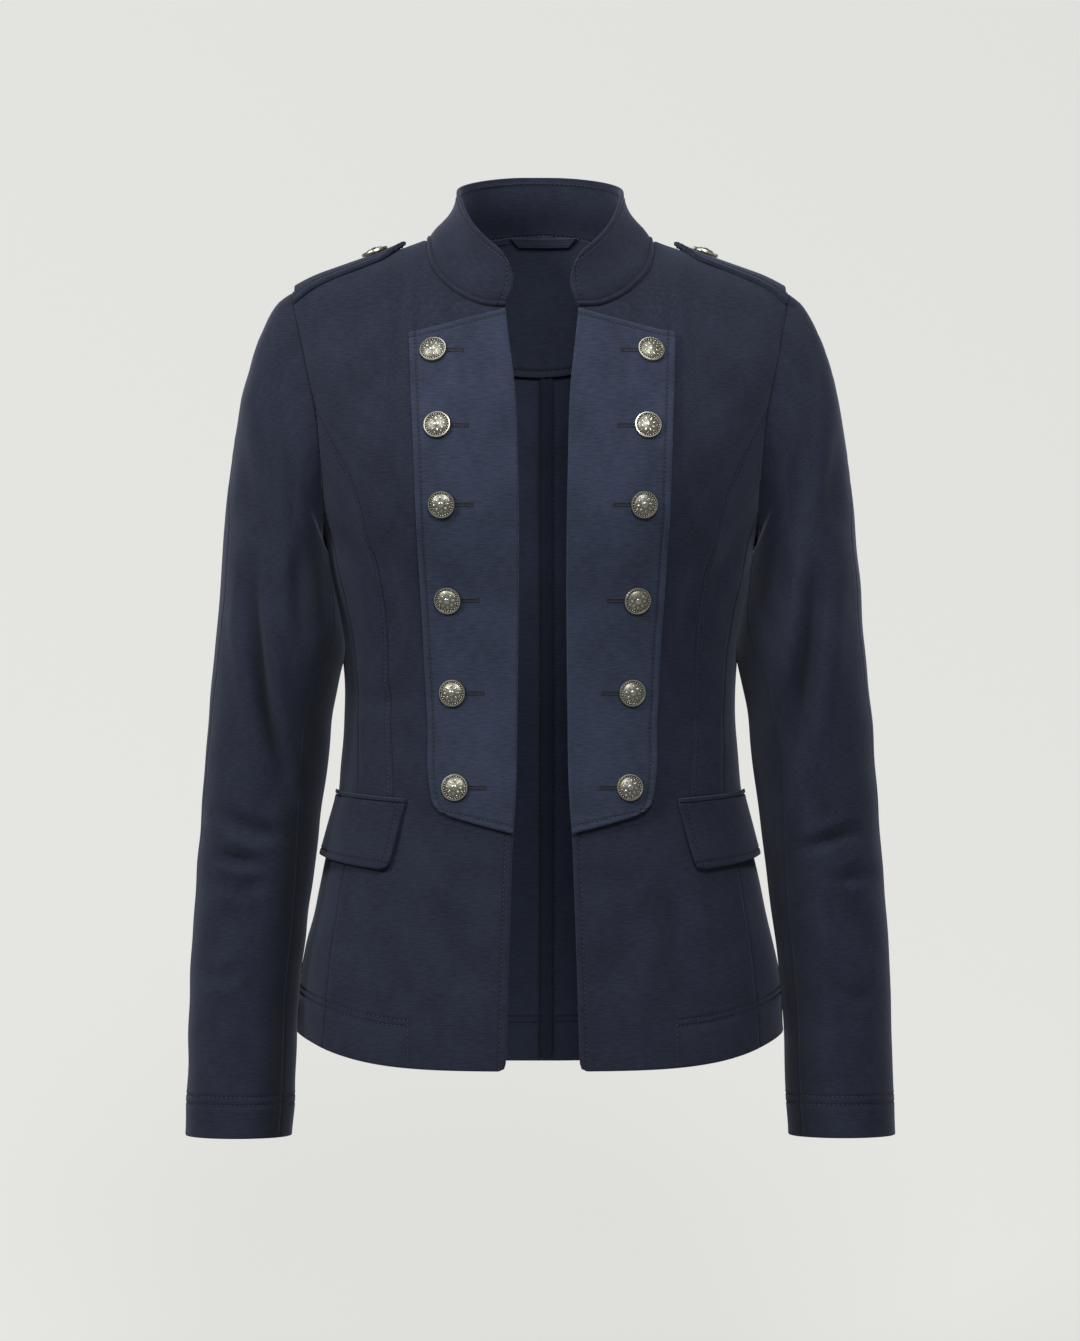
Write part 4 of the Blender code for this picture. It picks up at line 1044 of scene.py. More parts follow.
@dataclass
class Bodice:
    """The body's cut pieces on one half: front, side front, side body and back."""

    coat: Coat
    side: Side
    needle: Needle
    cloth: float = 1.8
    dense: int = 48
    skirt_rows: int = 40
    body_rows: int = 90
    yoke_rows: int = 50
    facing_x: float = 101.5
    # the princess seam's trim fades out this near to the pocket's level
    pocket_reach: float = 9.0
    hem_corner: float = 6.5

    def build(self) -> None:
        """Builds the four pieces and their stitches."""
        for dress in (self.front, self.side_front, self.side_body, self.back):
            dress()

    def skirt_levels(self) -> Array:
        """Levels from the hem to the pocket."""
        pattern = self.coat.pattern
        return np.linspace(pattern.form.hem_level, pattern.pocket_level, self.skirt_rows + 1)

    def body_levels(self, join: float) -> Array:
        """Levels from the pocket up to a join."""
        return np.linspace(self.coat.pattern.pocket_level, join, self.body_rows + 1)

    def front(self) -> None:
        """The front, from its edge to the princess seam, and on to the side seam below the pocket."""
        pattern, coat, half = self.coat.pattern, self.coat, self.dense // 2
        low = self.skirt_levels()
        join = pattern.front_princess[-1][0]
        mid = self.body_levels(join)
        low_edge, low_seam = (pattern.seam(m, low) for m in (pattern.front_edge, pattern.front_princess))
        mid_edge, mid_seam = (pattern.seam(m, mid) for m in (pattern.front_edge, pattern.front_princess))
        cols = 2 * half
        neck, shoulder = pattern.neck_front(half), pattern.shoulder(cols - half)
        top = pattern.places(np.concatenate([neck, shoulder[1:]]))
        top_levels = np.linspace(join, pattern.front_neck[0][1], self.yoke_rows + 1)
        top_edge = pattern.seam(pattern.front_edge, top_levels)
        armhole = pattern.yoke_levels(join, pattern.shoulder_level(), self.yoke_rows)
        skirt = ruled(low_edge, low_seam, cols)
        middle = fill_between(skirt[-1], straight(mid_edge[-1], mid_seam[-1], cols), mid_edge, mid_seam)
        yoke = fill_between(middle[-1], top, top_edge, pattern.seam(pattern.front_armhole, armhole))
        upper = np.concatenate([middle, yoke[1:]])
        extension = ruled(low_seam, pattern.seam(pattern.side_seam, low), half)
        skirt_all = block(coat, np.concatenate([skirt, extension[:, 1:]], axis=1), HEM, None)
        upper = block(coat, upper, None, PLAIN_SEAM)
        pocket_row = len(skirt_all) - 1
        main = columns(coat, np.concatenate([skirt_all[:, : cols + 1], upper[1:]]), STITCHED_FOLD, PLAIN_SEAM)
        beside = columns(coat, skirt_all[:, cols:], None, PLAIN_SEAM)
        rows, main_cols = main.shape[:2]
        ext_cols = beside.shape[1] - 1
        places = np.concatenate([main, np.repeat(main[:, -1:], ext_cols, axis=1)], axis=1)
        places[: pocket_row + 1, main_cols:] = beside[:, 1:]
        points, normals = on_form(coat, places)
        cells = np.ones((rows - 1, places.shape[1] - 1), bool)
        cells[pocket_row:, main_cols - 1:] = False
        right = np.full(places.shape[:2], FAR)
        main_arc = arc_lengths(points[:, :main_cols], 1)
        right[pocket_row:, :main_cols] = (main_arc[:, -1:] - main_arc)[pocket_row:]
        ext_arc = arc_lengths(points[: pocket_row + 1, main_cols - 1:], 1)
        right[: pocket_row + 1, main_cols - 1:] = ext_arc[:, -1:] - ext_arc
        right[pocket_row, :main_cols] = np.minimum(right[pocket_row, :main_cols], self.pocket_reach)
        trims = {Edge.LEFT: STITCHED_FOLD, Edge.RIGHT: PLAIN_SEAM, Edge.BOTTOM: HEM, Edge.TOP: PLAIN_SEAM}
        up = arc_lengths(points, 0)
        top_reach = up[-1:] - up
        top_reach[:, main_cols:] = np.abs(up[pocket_row] - up)[:, main_cols:]
        hem_reach = np.where(points[..., 0] < self.facing_x, up + 50, up)
        reach = {Edge.RIGHT: right, Edge.TOP: top_reach, Edge.BOTTOM: hem_reach}
        sheet = ClothSheet(points, normals, trims, cells, reach)
        coat.rise(sheet, self.side)
        sheet.reach[Edge.BOTTOM] = up
        sheet.round_corner(Edge.LEFT, Edge.BOTTOM, self.hem_corner)
        sheet.reach[Edge.BOTTOM] = hem_reach
        add_wall(coat, f"front_{self.side.word}", sheet, self.side, self.cloth)
        line, ups = sheet.path(Edge.LEFT, STITCHED_FOLD.stitches[0])
        below = line[:, 2] < -440
        self.needle.row(line[below], ups[below])
        self.needle.sew(sheet, Edge.BOTTOM)
        levels = np.linspace(pattern.form.hem_level + 1, pattern.form.hem_level + 38, 12)
        edge_places = np.stack([pattern.form.turn_at(np.full(12, self.facing_x), levels), levels], axis=1)
        line, ups = on_form(coat, edge_places)
        line = line + ups * (coat.drape.rise(line, ups, self.side)[:, None] + 0.05)
        self.needle.row(line, ups)

    def side_front(self) -> None:
        """The side front, between the princess seam, the armhole and the side seam."""
        pattern, coat = self.coat.pattern, self.coat
        join, under = pattern.front_princess[-1][0], pattern.side_seam[-1][0]
        seam = pattern.seam(pattern.front_princess, self.body_levels(join))
        edge = pattern.seam(pattern.side_seam, self.body_levels(under))
        armhole = pattern.seam(pattern.front_armhole, np.linspace(join, under, self.dense + 1))
        dense = fill_between(straight(seam[0], edge[0], self.dense), armhole, seam, edge)
        sheet = body_sheet(coat, self.side, [dense], (TOPSTITCHED_SEAM, PLAIN_SEAM), (None, PLAIN_SEAM))
        add_wall(coat, f"side_front_{self.side.word}", sheet, self.side, self.cloth)
        self.needle.sew(sheet, Edge.LEFT)

    def side_body(self) -> None:
        """The side body, from the side seam round to the back princess seam."""
        pattern, coat = self.coat.pattern, self.coat
        low = self.skirt_levels()
        low_front, low_back = pattern.seam(pattern.side_seam, low), pattern.seam(pattern.back_princess, low, True)
        under_level, back_join = pattern.side_seam[-1][0], pattern.back_princess[-1][0]
        front = pattern.seam(pattern.side_seam, self.body_levels(under_level))
        back = pattern.seam(pattern.back_princess, self.body_levels(back_join), True)
        under = [(math.degrees(front[-1][0]), under_level), *pattern.underarm]
        under.append((math.degrees(back[-1][0]), back_join))
        armhole = resample(under, self.dense) * np.array([math.pi / 180, 1.0])
        armhole[0], armhole[-1] = front[-1], back[-1]
        skirt = ruled(low_front, low_back, self.dense)
        body = fill_between(skirt[-1], armhole, front, back)
        sheet = body_sheet(coat, self.side, [skirt, body], (PLAIN_SEAM, PLAIN_SEAM), (HEM, PLAIN_SEAM))
        add_wall(coat, f"side_body_{self.side.word}", sheet, self.side, self.cloth)
        self.needle.sew(sheet, Edge.BOTTOM)

    def back(self) -> None:
        """The back, from the back princess seam to the centre back seam."""
        pattern, coat, half = self.coat.pattern, self.coat, self.dense // 2
        centre_x = pattern.centre_back_x * self.side.value
        neck_level = pattern.back_neck_level(centre_x)
        back_join = pattern.back_princess[-1][0]
        low = self.skirt_levels()
        mid = self.body_levels(back_join)

        def centre(levels: Array) -> Array:
            """Places on the centre back seam at some levels."""
            return pattern.places(np.stack([np.full(len(levels), centre_x), levels], axis=1), True)

        low_seam = pattern.seam(pattern.back_princess, low, True)
        seam = pattern.seam(pattern.back_princess, mid, True)
        low_centre, mid_centre = centre(low), centre(mid)
        cols = 2 * half
        skirt = ruled(low_seam, low_centre, cols)
        middle = fill_between(skirt[-1], straight(seam[-1], mid_centre[-1], cols), seam, mid_centre)
        shoulder, neck = pattern.shoulder(half)[::-1], pattern.neck_back(cols - half, centre_x)
        top = pattern.places(np.concatenate([shoulder, neck[1:]]), True)
        armhole = pattern.yoke_levels(back_join, pattern.shoulder_level(), self.yoke_rows)
        yoke = fill_between(
            middle[-1], top, pattern.seam(pattern.back_armhole, armhole, True),
            centre(np.linspace(back_join, neck_level, self.yoke_rows + 1)),
        )
        upper = np.concatenate([middle, yoke[1:]])
        sheet = body_sheet(coat, self.side, [skirt, upper], (TOPSTITCHED_SEAM, TOPSTITCHED_SEAM), (HEM, PLAIN_SEAM))
        add_wall(coat, f"back_{self.side.word}", sheet, self.side, self.cloth)
        self.needle.sew(sheet, Edge.LEFT)
        self.needle.sew(sheet, Edge.BOTTOM)
        if self.side is Side.LEFT:
            line, ups = sheet.path(Edge.RIGHT, TOPSTITCHED_SEAM.stitches[0])
            self.needle.row(line, ups)
            self.needle.row(line - ups * (self.cloth + 0.1), -ups)


@dataclass
class Sleeve:
    """One sleeve of two pieces, from rings along the arm."""

    coat: Coat
    side: Side
    needle: Needle
    cloth: float = 1.8
    finer: int = 4
    ring_steps: int = 170
    # outer x, outer z, inner x, inner z, middle y, half depth, elbow seam, forearm seam, blend
    rings: tuple[tuple[float, ...], ...] = (
        (192.0, -41.0, 166.0, -231.0, 0, 61, -52, 158, 0.00), (203.5, -50.5, 166.4, -233.5, 0, 62, -38, 158, 0.05),
        (215.7, -73.4, 166.4, -236.0, 0, 62, -22, 158, 0.18), (224.2, -96.6, 166.3, -239.0, 0, 62, -6, 157, 0.35),
        (231.8, -124.0, 162.3, -242.5, 0, 62, 8, 156, 0.55), (237.2, -154.6, 160.0, -247.0, 0, 61, 18, 155, 0.75),
        (240.8, -188.0, 159.0, -253.0, -2, 60, 24, 154, 0.90), (243.5, -222.0, 157.4, -262.0, -5, 59, 27, 153, 1.0),
        (245.8, -254.0, 155.2, -275.0, -10, 58, 27, 152, 1.0), (247.8, -284.0, 152.0, -293.0, -15, 56.5, 26, 148, 1),
        (249.8, -312.0, 149.6, -314.0, -18, 55, 24, 138, 1), (252.6, -338.0, 154.0, -338.0, -18, 53.5, 23, 130, 1),
        (255.0, -364.0, 159.4, -364.0, -17, 52, 21, 128, 1), (257.0, -390.0, 162.2, -390.0, -16, 50.5, 19, 125, 1),
        (259.2, -416.0, 165.0, -416.0, -15, 49.5, 17, 126, 1), (261.2, -445.0, 169.0, -445.0, -15, 48.5, 15, 130, 1),
        (263.2, -472.0, 172.4, -472.0, -15, 47.5, 13, 133, 1), (265.2, -500.0, 175.8, -500.0, -16, 46, 11, 137, 1),
        (267.2, -528.0, 179.4, -528.0, -17, 45, 10, 139, 1), (268.8, -556.0, 182.8, -556.0, -19, 44, 9, 140, 1),
        (269.8, -584.0, 185.6, -584.0, -21, 43, 8, 140, 1), (270.3, -612.0, 187.2, -612.0, -23, 42, 7, 141, 1),
        (270.8, -638.0, 187.9, -638.0, -25, 41, 6, 141, 1), (271.8, -662.0, 188.8, -662.0, -26, 40.5, 5, 141, 1),
        (272.6, -689.0, 190.6, -689.0, -27, 40.5, 5, 141, 1),
    )
    yoke_cells: int = 7
    side_front_cells: int = 4
    side_body_cells: int = 6
    elbow_cells: int = 4
    # painted shade: the cloth folds on itself here, and its colour is drawn darker round this point
    underarm: Triple = (166.0, 8.0, -236.0)
    underarm_painted_shade_size: Triple = (7.0, 30.0, 11.0)
    # painted shade darkens the side that faces the body below this level, where it gets little light
    inner_level: float = -215.0
    inner_painted_shade: float = 0.6

    def armhole(self) -> Array:
        """The armhole's points, from the shoulder down the front and up the back."""
        pattern, form, finer = self.coat.pattern, self.coat.pattern.form, self.finer
        join, under = pattern.front_princess[-1][0], pattern.side_seam[-1][0]
        back_join = pattern.back_princess[-1][0]
        high = pattern.shoulder_level()
        front = pattern.seam(pattern.front_armhole, pattern.yoke_levels(join, high, self.yoke_cells * finer))[:0:-1]
        side = pattern.seam(pattern.front_armhole, np.linspace(join, under, self.side_front_cells * finer + 1))
        back = pattern.seam(
            pattern.back_armhole, pattern.yoke_levels(back_join, high, self.yoke_cells * finer), True
        )
        below = [(math.degrees(side[-1][0]), under), *pattern.underarm, (math.degrees(back[0][0]), back_join)]
        round_under = resample(below, self.side_body_cells * finer) * np.array([math.pi / 180, 1.0])
        round_under[0], round_under[-1] = side[-1], back[0]
        places = np.concatenate([front, side, round_under[1:], back[1:-1]])
        return form.point(places[:, 0], places[:, 1])

    def ring(self, at: Array) -> Array:
        """The rings' table read at places along the sleeve, counted in rings."""
        table = np.array(self.rings, float)
        knots = np.arange(len(table), dtype=float)
        return np.stack([smooth_lookup(knots, column, at) for column in table.T], axis=-1)

    def grid(self) -> tuple[Array, int]:
        """The sleeve's points and the column of the forearm seam."""
        armhole = np.roll(self.armhole(), self.elbow_cells * self.finer, axis=0)
        count = len(armhole)
        upper = (self.elbow_cells + self.yoke_cells + self.side_front_cells) * self.finer
        rows = self.ring(np.linspace(0, len(self.rings) - 1, self.ring_steps + 1))
        outer, inner = rows[:, (0, 4, 1)], rows[:, (2, 4, 3)]
        middle, reach = (outer + inner) / 2, (outer - inner) / 2
        along = ((armhole - middle[0]) @ reach[0]) / (reach[0] @ reach[0])
        start = np.unwrap(np.arctan2(-(armhole[:, 1] - rows[0, 4]) / rows[0, 5], along))
        own = np.append(start, start[0] + 2 * math.pi)
        turned = np.array([0.0, 1.0, 0.0])
        on_ring = (middle[0] + reach[0] * np.cos(own)[:, None] - turned * (rows[0, 5] * np.sin(own))[:, None])
        off = np.vstack([armhole, armhole[:1]]) - on_ring
        points = []
        for row, centre, arm in zip(rows, middle, reach):
            elbow, forearm, blend = math.radians(row[6]), math.radians(row[7]), row[8]
            goal = np.concatenate([
                np.linspace(elbow, forearm, upper + 1)[:-1],
                np.linspace(forearm, elbow + 2 * math.pi, count - upper + 1),
            ])
            turns = own * (1 - blend) + goal * blend
            ring = centre + arm * np.cos(turns)[:, None] - turned * (row[5] * np.sin(turns))[:, None]
            points.append(ring + off * (1 - blend))
        return np.array(points), upper

    def build(self) -> None:
        """Builds the upper and the under sleeve and the cuff's stitches."""
        grid, upper = self.grid()
        seam = PLAIN_SEAM.distances
        wrapped = np.concatenate([grid[:, -2:-1], grid, grid[:, 1:2]], axis=1)
        normals = grid_normals(wrapped)[:, 1:-1]
        trims = {Edge.TOP: CUFF, Edge.BOTTOM: PLAIN_SEAM, Edge.LEFT: PLAIN_SEAM, Edge.RIGHT: PLAIN_SEAM}
        for part, cut in (("upper", slice(0, upper + 1)), ("under", slice(upper, None))):
            points, outward = respaced(
                grid[:, cut], normals[:, cut], (seam, CUFF.distances), (seam, seam), self.coat.spacing
            )
            sheet = ClothSheet(points, outward, trims)
            self.coat.rise(sheet, self.side)
            self.ease(sheet)
            # painted shade round the underarm and on the sleeve's side that faces the body
            away = np.linalg.norm((points - np.array(self.underarm)) / np.array(self.underarm_painted_shade_size), axis=2)
            inner = np.clip((-outward[..., 0] - 0.25) / 0.5, 0, 1)
            inner = inner * np.clip((self.inner_level - points[..., 2]) / 50, 0, 1)
            sheet.painted_shade = np.maximum(sheet.painted_shade, np.maximum(np.exp(-(away**2)), self.inner_painted_shade * inner))
            add_wall(self.coat, f"sleeve_{part}_{self.side.word}", sheet, self.side, self.cloth)
            self.needle.sew(sheet, Edge.TOP)

    def ease(self, sheet: ClothSheet) -> None:
        """Gathers the sleeve's head slightly and puckers the cloth beside its lengthways seams."""
        below, z = sheet.reach[Edge.BOTTOM], sheet.points[..., 2]
        around = arc_lengths(sheet.points, 1)
        head = np.exp(-((below - 6) / 9) ** 2) * np.clip((z + 190) / 60, 0, 1)
        sheet.rise += 0.35 * head * np.sin(2 * math.pi * around / 11.0)
        beside = np.minimum(sheet.reach[Edge.LEFT], sheet.reach[Edge.RIGHT])
        pucker = np.exp(-((beside - 6) / 5) ** 2) * np.exp(-((z + 240) / 90) ** 2)
        sheet.rise += 0.22 * pucker * np.sin(2 * math.pi * z / 13.0)


@dataclass
class Collar:
    """The stand collar, with a corded seam at its foot and topstitching near its edge."""

    coat: Coat
    cloth: float = 2.4
    hollow: float = 5.5
    front_bulge: float = 5.0
    lift: float = 0.3
    cells: int = 36
    rows: int = 16
    spacing: float = 3.6
    tuck: float = 1.5
    # x, y, z of the top edge, from the front end to the centre back
    top: tuple[Triple, ...] = (
        (25, -73, -21), (30, -71, -13), (39, -64, -4.5), (50, -50, 8), (57, -33, 21), (60.5, -16, 32),
        (62, 0, 38), (60.5, 15, 42.5), (52, 30, 47), (37, 41, 50.5), (19, 47, 52.5), (0, 50, 53),
    )

    def neck_ring(self, half: int) -> Array:
        """The neck seam's points, from the +X front edge round the back to the other one."""
        pattern, form = self.coat.pattern, self.coat.pattern.form
        front = pattern.neck_front(half)
        start = form.point(*pattern.places(front).T)
        halves = []
        for side in (1, -1):
            back = pattern.neck_back(half, pattern.centre_back_x * side)
            line = np.concatenate([start[:-1], form.point(*pattern.places(back, True).T)])
            halves.append(line * np.array([side, 1.0, 1.0]))
        return np.concatenate([halves[0], halves[1][::-1][1:]])

    def build(self) -> None:
        """Builds the collar and its stitches."""
        base = self.neck_ring(self.cells)
        half = (len(base) - 1) // 2
        top_half = resample(self.top, half)
        top = np.concatenate([top_half, top_half[::-1][1:] * np.array([-1.0, 1.0, 1.0])])
        index = np.arange(len(base))
        round_back = np.minimum(index, len(base) - 1 - index) / half
        rows = []
        for share in np.linspace(0, 1, self.rows + 1):
            row = base * (1 - share) + top * share
            swell = math.sin(math.pi * share)
            flat = row * np.array([1.0, 1.0, 0.0])
            flat /= np.linalg.norm(flat, axis=1, keepdims=True)
            row = row - flat * (self.hollow * swell * np.minimum(1.0, 2 * round_back))[:, None]
            ends = np.exp(-(np.minimum(index, len(base) - 1 - index) / 3.5) ** 2)
            row[:, 0] += -np.sign(base[:, 0]) * ends * self.front_bulge * swell
            row[:, 2] += self.lift * (1 - share)
            rows.append(row)
        grid, fold = np.array(rows), STITCHED_FOLD.distances
        points, outward = respaced(
            grid, grid_normals(grid), (CORDED_SEAM.distances, fold), (fold, fold), self.spacing
        )
        trims = {
            Edge.BOTTOM: CORDED_SEAM, Edge.TOP: STITCHED_FOLD, Edge.LEFT: STITCHED_FOLD, Edge.RIGHT: STITCHED_FOLD,
        }
        sheet = ClothSheet(points, outward, trims, finishes=("jersey", "jersey"), tuck=self.tuck, level_grain=False)
        wave = np.sin(points[..., 0] / 17.0 + points[..., 2] / 9.0) + np.sin(points[..., 1] / 13.0)
        sheet.rise += 0.22 * wave + 0.3 + (self.cloth - 0.3) * np.clip(sheet.reach[Edge.BOTTOM] / 12, 0, 1)
        add_wall(self.coat, "collar", sheet, Side.LEFT, self.cloth)
        needle = Needle(stitch_template())
        for edge in (Edge.TOP, Edge.LEFT, Edge.RIGHT):
            line, ups = sheet.path(edge, STITCHED_FOLD.stitches[0])
            needle.row(line, ups)
            needle.row(line - ups * (self.cloth + 0.05), -ups)
        line, ups = sheet.path(Edge.BOTTOM, 3.8)
        needle.row(line - ups * (self.cloth + 0.1), -ups)
        needle.finish(self.coat, "stitches_collar", Side.LEFT)


@dataclass
class FrontOverlay:
    """The buttoned overlay on one front: placket, buttonholes and their buttons' places."""

    coat: Coat
    side: Side
    needle: Needle
    buttonholes: Needle
    cloth: float = 2.2
    lift: float = 0.8
    neck_gap: float = 2.0
    low: float = -456.0
    button_gap: float = 0.4
    hole_reach: float = 22.5
    rows: int = 90
    cols: int = 40
    # how far the outer edge stands off the front, by side
    swell_left: float = 1.5
    swell_right: float = 0.6
    low_corner: float = 9.0
    high_corner: float = 2.5
    # half width, level
    buttons: tuple[Pair, ...] = (
        (81.9, -91.0), (78.9, -148.3), (75.6, -207.3), (70.8, -278.8), (67.0, -349.4), (65.2, -421.2),
    )

    def build(self) -> None:
        """Builds the placket, its stitches and its buttonholes."""
        pattern, coat = self.coat.pattern, self.coat
        high = pattern.front_edge[-1][0] - self.neck_gap
        edge = pattern.seam(pattern.front_edge, np.linspace(self.low, high, self.rows + 1))
        low, high = pattern.placket_edge[0][0], pattern.placket_edge[-1][0]
        outer = pattern.seam(pattern.placket_edge, np.linspace(low, high, self.rows + 1))
        between = [(float(pattern.form.turn_at(x, z)), z) for z, x in pattern.placket_top]
        top = resample([edge[-1], *between, outer[-1]], self.cols)
        dense = fill_between(straight(edge[0], outer[0], self.cols), top, edge, outer)
        fold = STITCHED_FOLD
        # the trim finish is the jersey painted lighter, as painted light on the placket
        sheet = body_sheet(coat, self.side, [dense], (FOLDED, fold), (fold, fold), ("trim", "trim"))
        sheet.rise += self.lift + self.cloth
        away = np.minimum(sheet.reach[Edge.RIGHT], sheet.reach[Edge.BOTTOM])
        swell = self.swell_left if self.side is Side.LEFT else self.swell_right
        sheet.rise += swell * np.exp(-((away / 6.0) ** 2))
        sheet.round_corner(Edge.RIGHT, Edge.BOTTOM, self.low_corner)
        sheet.round_corner(Edge.RIGHT, Edge.TOP, self.high_corner)
        add_wall(coat, f"placket_{self.side.word}", sheet, self.side, self.cloth, 0.0)
        self.needle.sew(sheet, Edge.RIGHT, Edge.BOTTOM, Edge.TOP)
        for x, level in self.buttons:
            self.buttonhole(x, level)

    def surface(self, x: Array, level: Array) -> tuple[Array, Array]:
        """Points on the placket's outer face and the directions there."""
        form = self.coat.pattern.form
        turn = form.turn_at(x, level)
        points, normals = form.point(turn, level), form.normal(turn, level)
        rise = self.coat.drape.rise(points, normals, self.side) + self.lift + self.cloth
        return points + normals * rise[..., None], normals

    def buttonhole(self, x: float, level: float) -> None:
        """Works a buttonhole from under the button towards the front edge, with crosswise stitches and a dark row
        along its middle that paints the shade in its slit.
        """
        count = 30
        for row in (-1.15, 1.15):
            xs = np.linspace(x - 4.0, x - self.hole_reach, count)
            centres, ups = self.surface(xs, np.full(count, level + row))
            alongs = np.tile([0.0, 0.0, 1.0], (count, 1))
            self.buttonholes.place(centres + 0.15 * ups, alongs, ups, (1.3, 0.6, 0.9))
        for reach, size in ((0.0, 1.6), (-0.9, 1.4)):
            centres, ups = self.surface(np.full(6, x - self.hole_reach - reach), level + np.linspace(-1.6, 1.6, 6))
            self.buttonholes.place(centres + 0.15 * ups, np.tile([1.0, 0.0, 0.0], (6, 1)), ups, (size, 0.6, 0.9))
        # painted shade: a row of dark stitches along the middle stands for the shade in the slit
        centres, ups = self.surface(np.linspace(x - 5.0, x - self.hole_reach + 1, 9), np.full(9, level))
        self.buttonholes.place(centres, np.tile([1.0, 0.0, 0.0], (9, 1)), ups, (2.6, 0.7, 0.5))

    def button_places(self) -> list[tuple[Array, Array]]:
        """The buttons' feet and directions, on the +X half."""
        places = []
        for x, level in self.buttons:
            point, up = self.surface(np.array([x]), np.array([level]))
            places.append((point[0] + up[0] * self.button_gap, up[0]))
        return places


@dataclass
class Pocket:
    """The flap and the welt above it."""

    coat: Coat
    side: Side
    needle: Needle
    inner_top: Pair = (102.5, -433.4)
    inner_bottom: Pair = (115.5, -484.6)
    outer_turn: float = 84.0
    outer_top: float = -427.4
    outer_bottom: float = -475.0
    cloth: float = 2.2
    lift_top: float = 0.6
    lift_bottom: float = 1.4
    corner_lift: float = 2.6
    welt_height: float = 3.4
    welt_cloth: float = 2.6
    seam_gap: float = 0.3
    corner: float = 7.5

    def edge_places(self, inner: Pair, outer_level: float, raise_by: float, cells: int) -> Array:
        """Places along the flap's top or bottom edge, from its inner end."""
        x, level = inner
        start = (float(self.coat.pattern.form.turn_at(x, level)), level + raise_by)
        return straight(np.array(start), np.array([math.radians(self.outer_turn), outer_level + raise_by]), cells)

    def build(self) -> None:
        """Builds the flap, its stitches and the welt."""
        coat = self.coat
        top = self.edge_places(self.inner_top, self.outer_top, 0.0, 40)
        bottom = self.edge_places(self.inner_bottom, self.outer_bottom, 0.0, 40)
        shares = np.linspace(0, 1, 31)[:, None, None]
        dense = bottom * (1 - shares) + top * shares
        fold = STITCHED_FOLD
        sheet = body_sheet(coat, self.side, [dense], (fold, fold), (fold, FOLDED))
        up = sheet.reach[Edge.BOTTOM]
        share = up / up[-1:]
        across = sheet.reach[Edge.LEFT] / sheet.reach[Edge.LEFT][:, -1:]
        low = self.lift_bottom + self.corner_lift * across**2 + 1.5 * np.exp(-((across / 0.3) ** 2))
        sheet.rise += self.cloth + low + (self.lift_top - low) * share
        sheet.round_corner(Edge.LEFT, Edge.BOTTOM, self.corner)
        add_wall(coat, f"pocket_flap_{self.side.word}", sheet, self.side, self.cloth, 0.0)
        self.needle.sew(sheet, Edge.LEFT, Edge.BOTTOM, Edge.RIGHT)
        rows = [
            self.edge_places(self.inner_top, self.outer_top, self.seam_gap + h, 60)
            for h in np.linspace(0, self.welt_height, 7)
        ]
        points, normals = on_form(coat, np.array(rows))
        welt = ClothSheet(points, normals, {})
        coat.rise(welt, self.side)
        bulge = np.sin(math.pi * np.linspace(0, 1, 7))[:, None] ** 0.6
        welt.rise += self.lift_top + self.welt_cloth + 0.25 * bulge
        welt.rise += 0.18 * bulge * np.sin(welt.reach[Edge.LEFT] / 5.2)
        add_wall(coat, f"pocket_welt_{self.side.word}", welt, self.side, 2.0, 0.0)


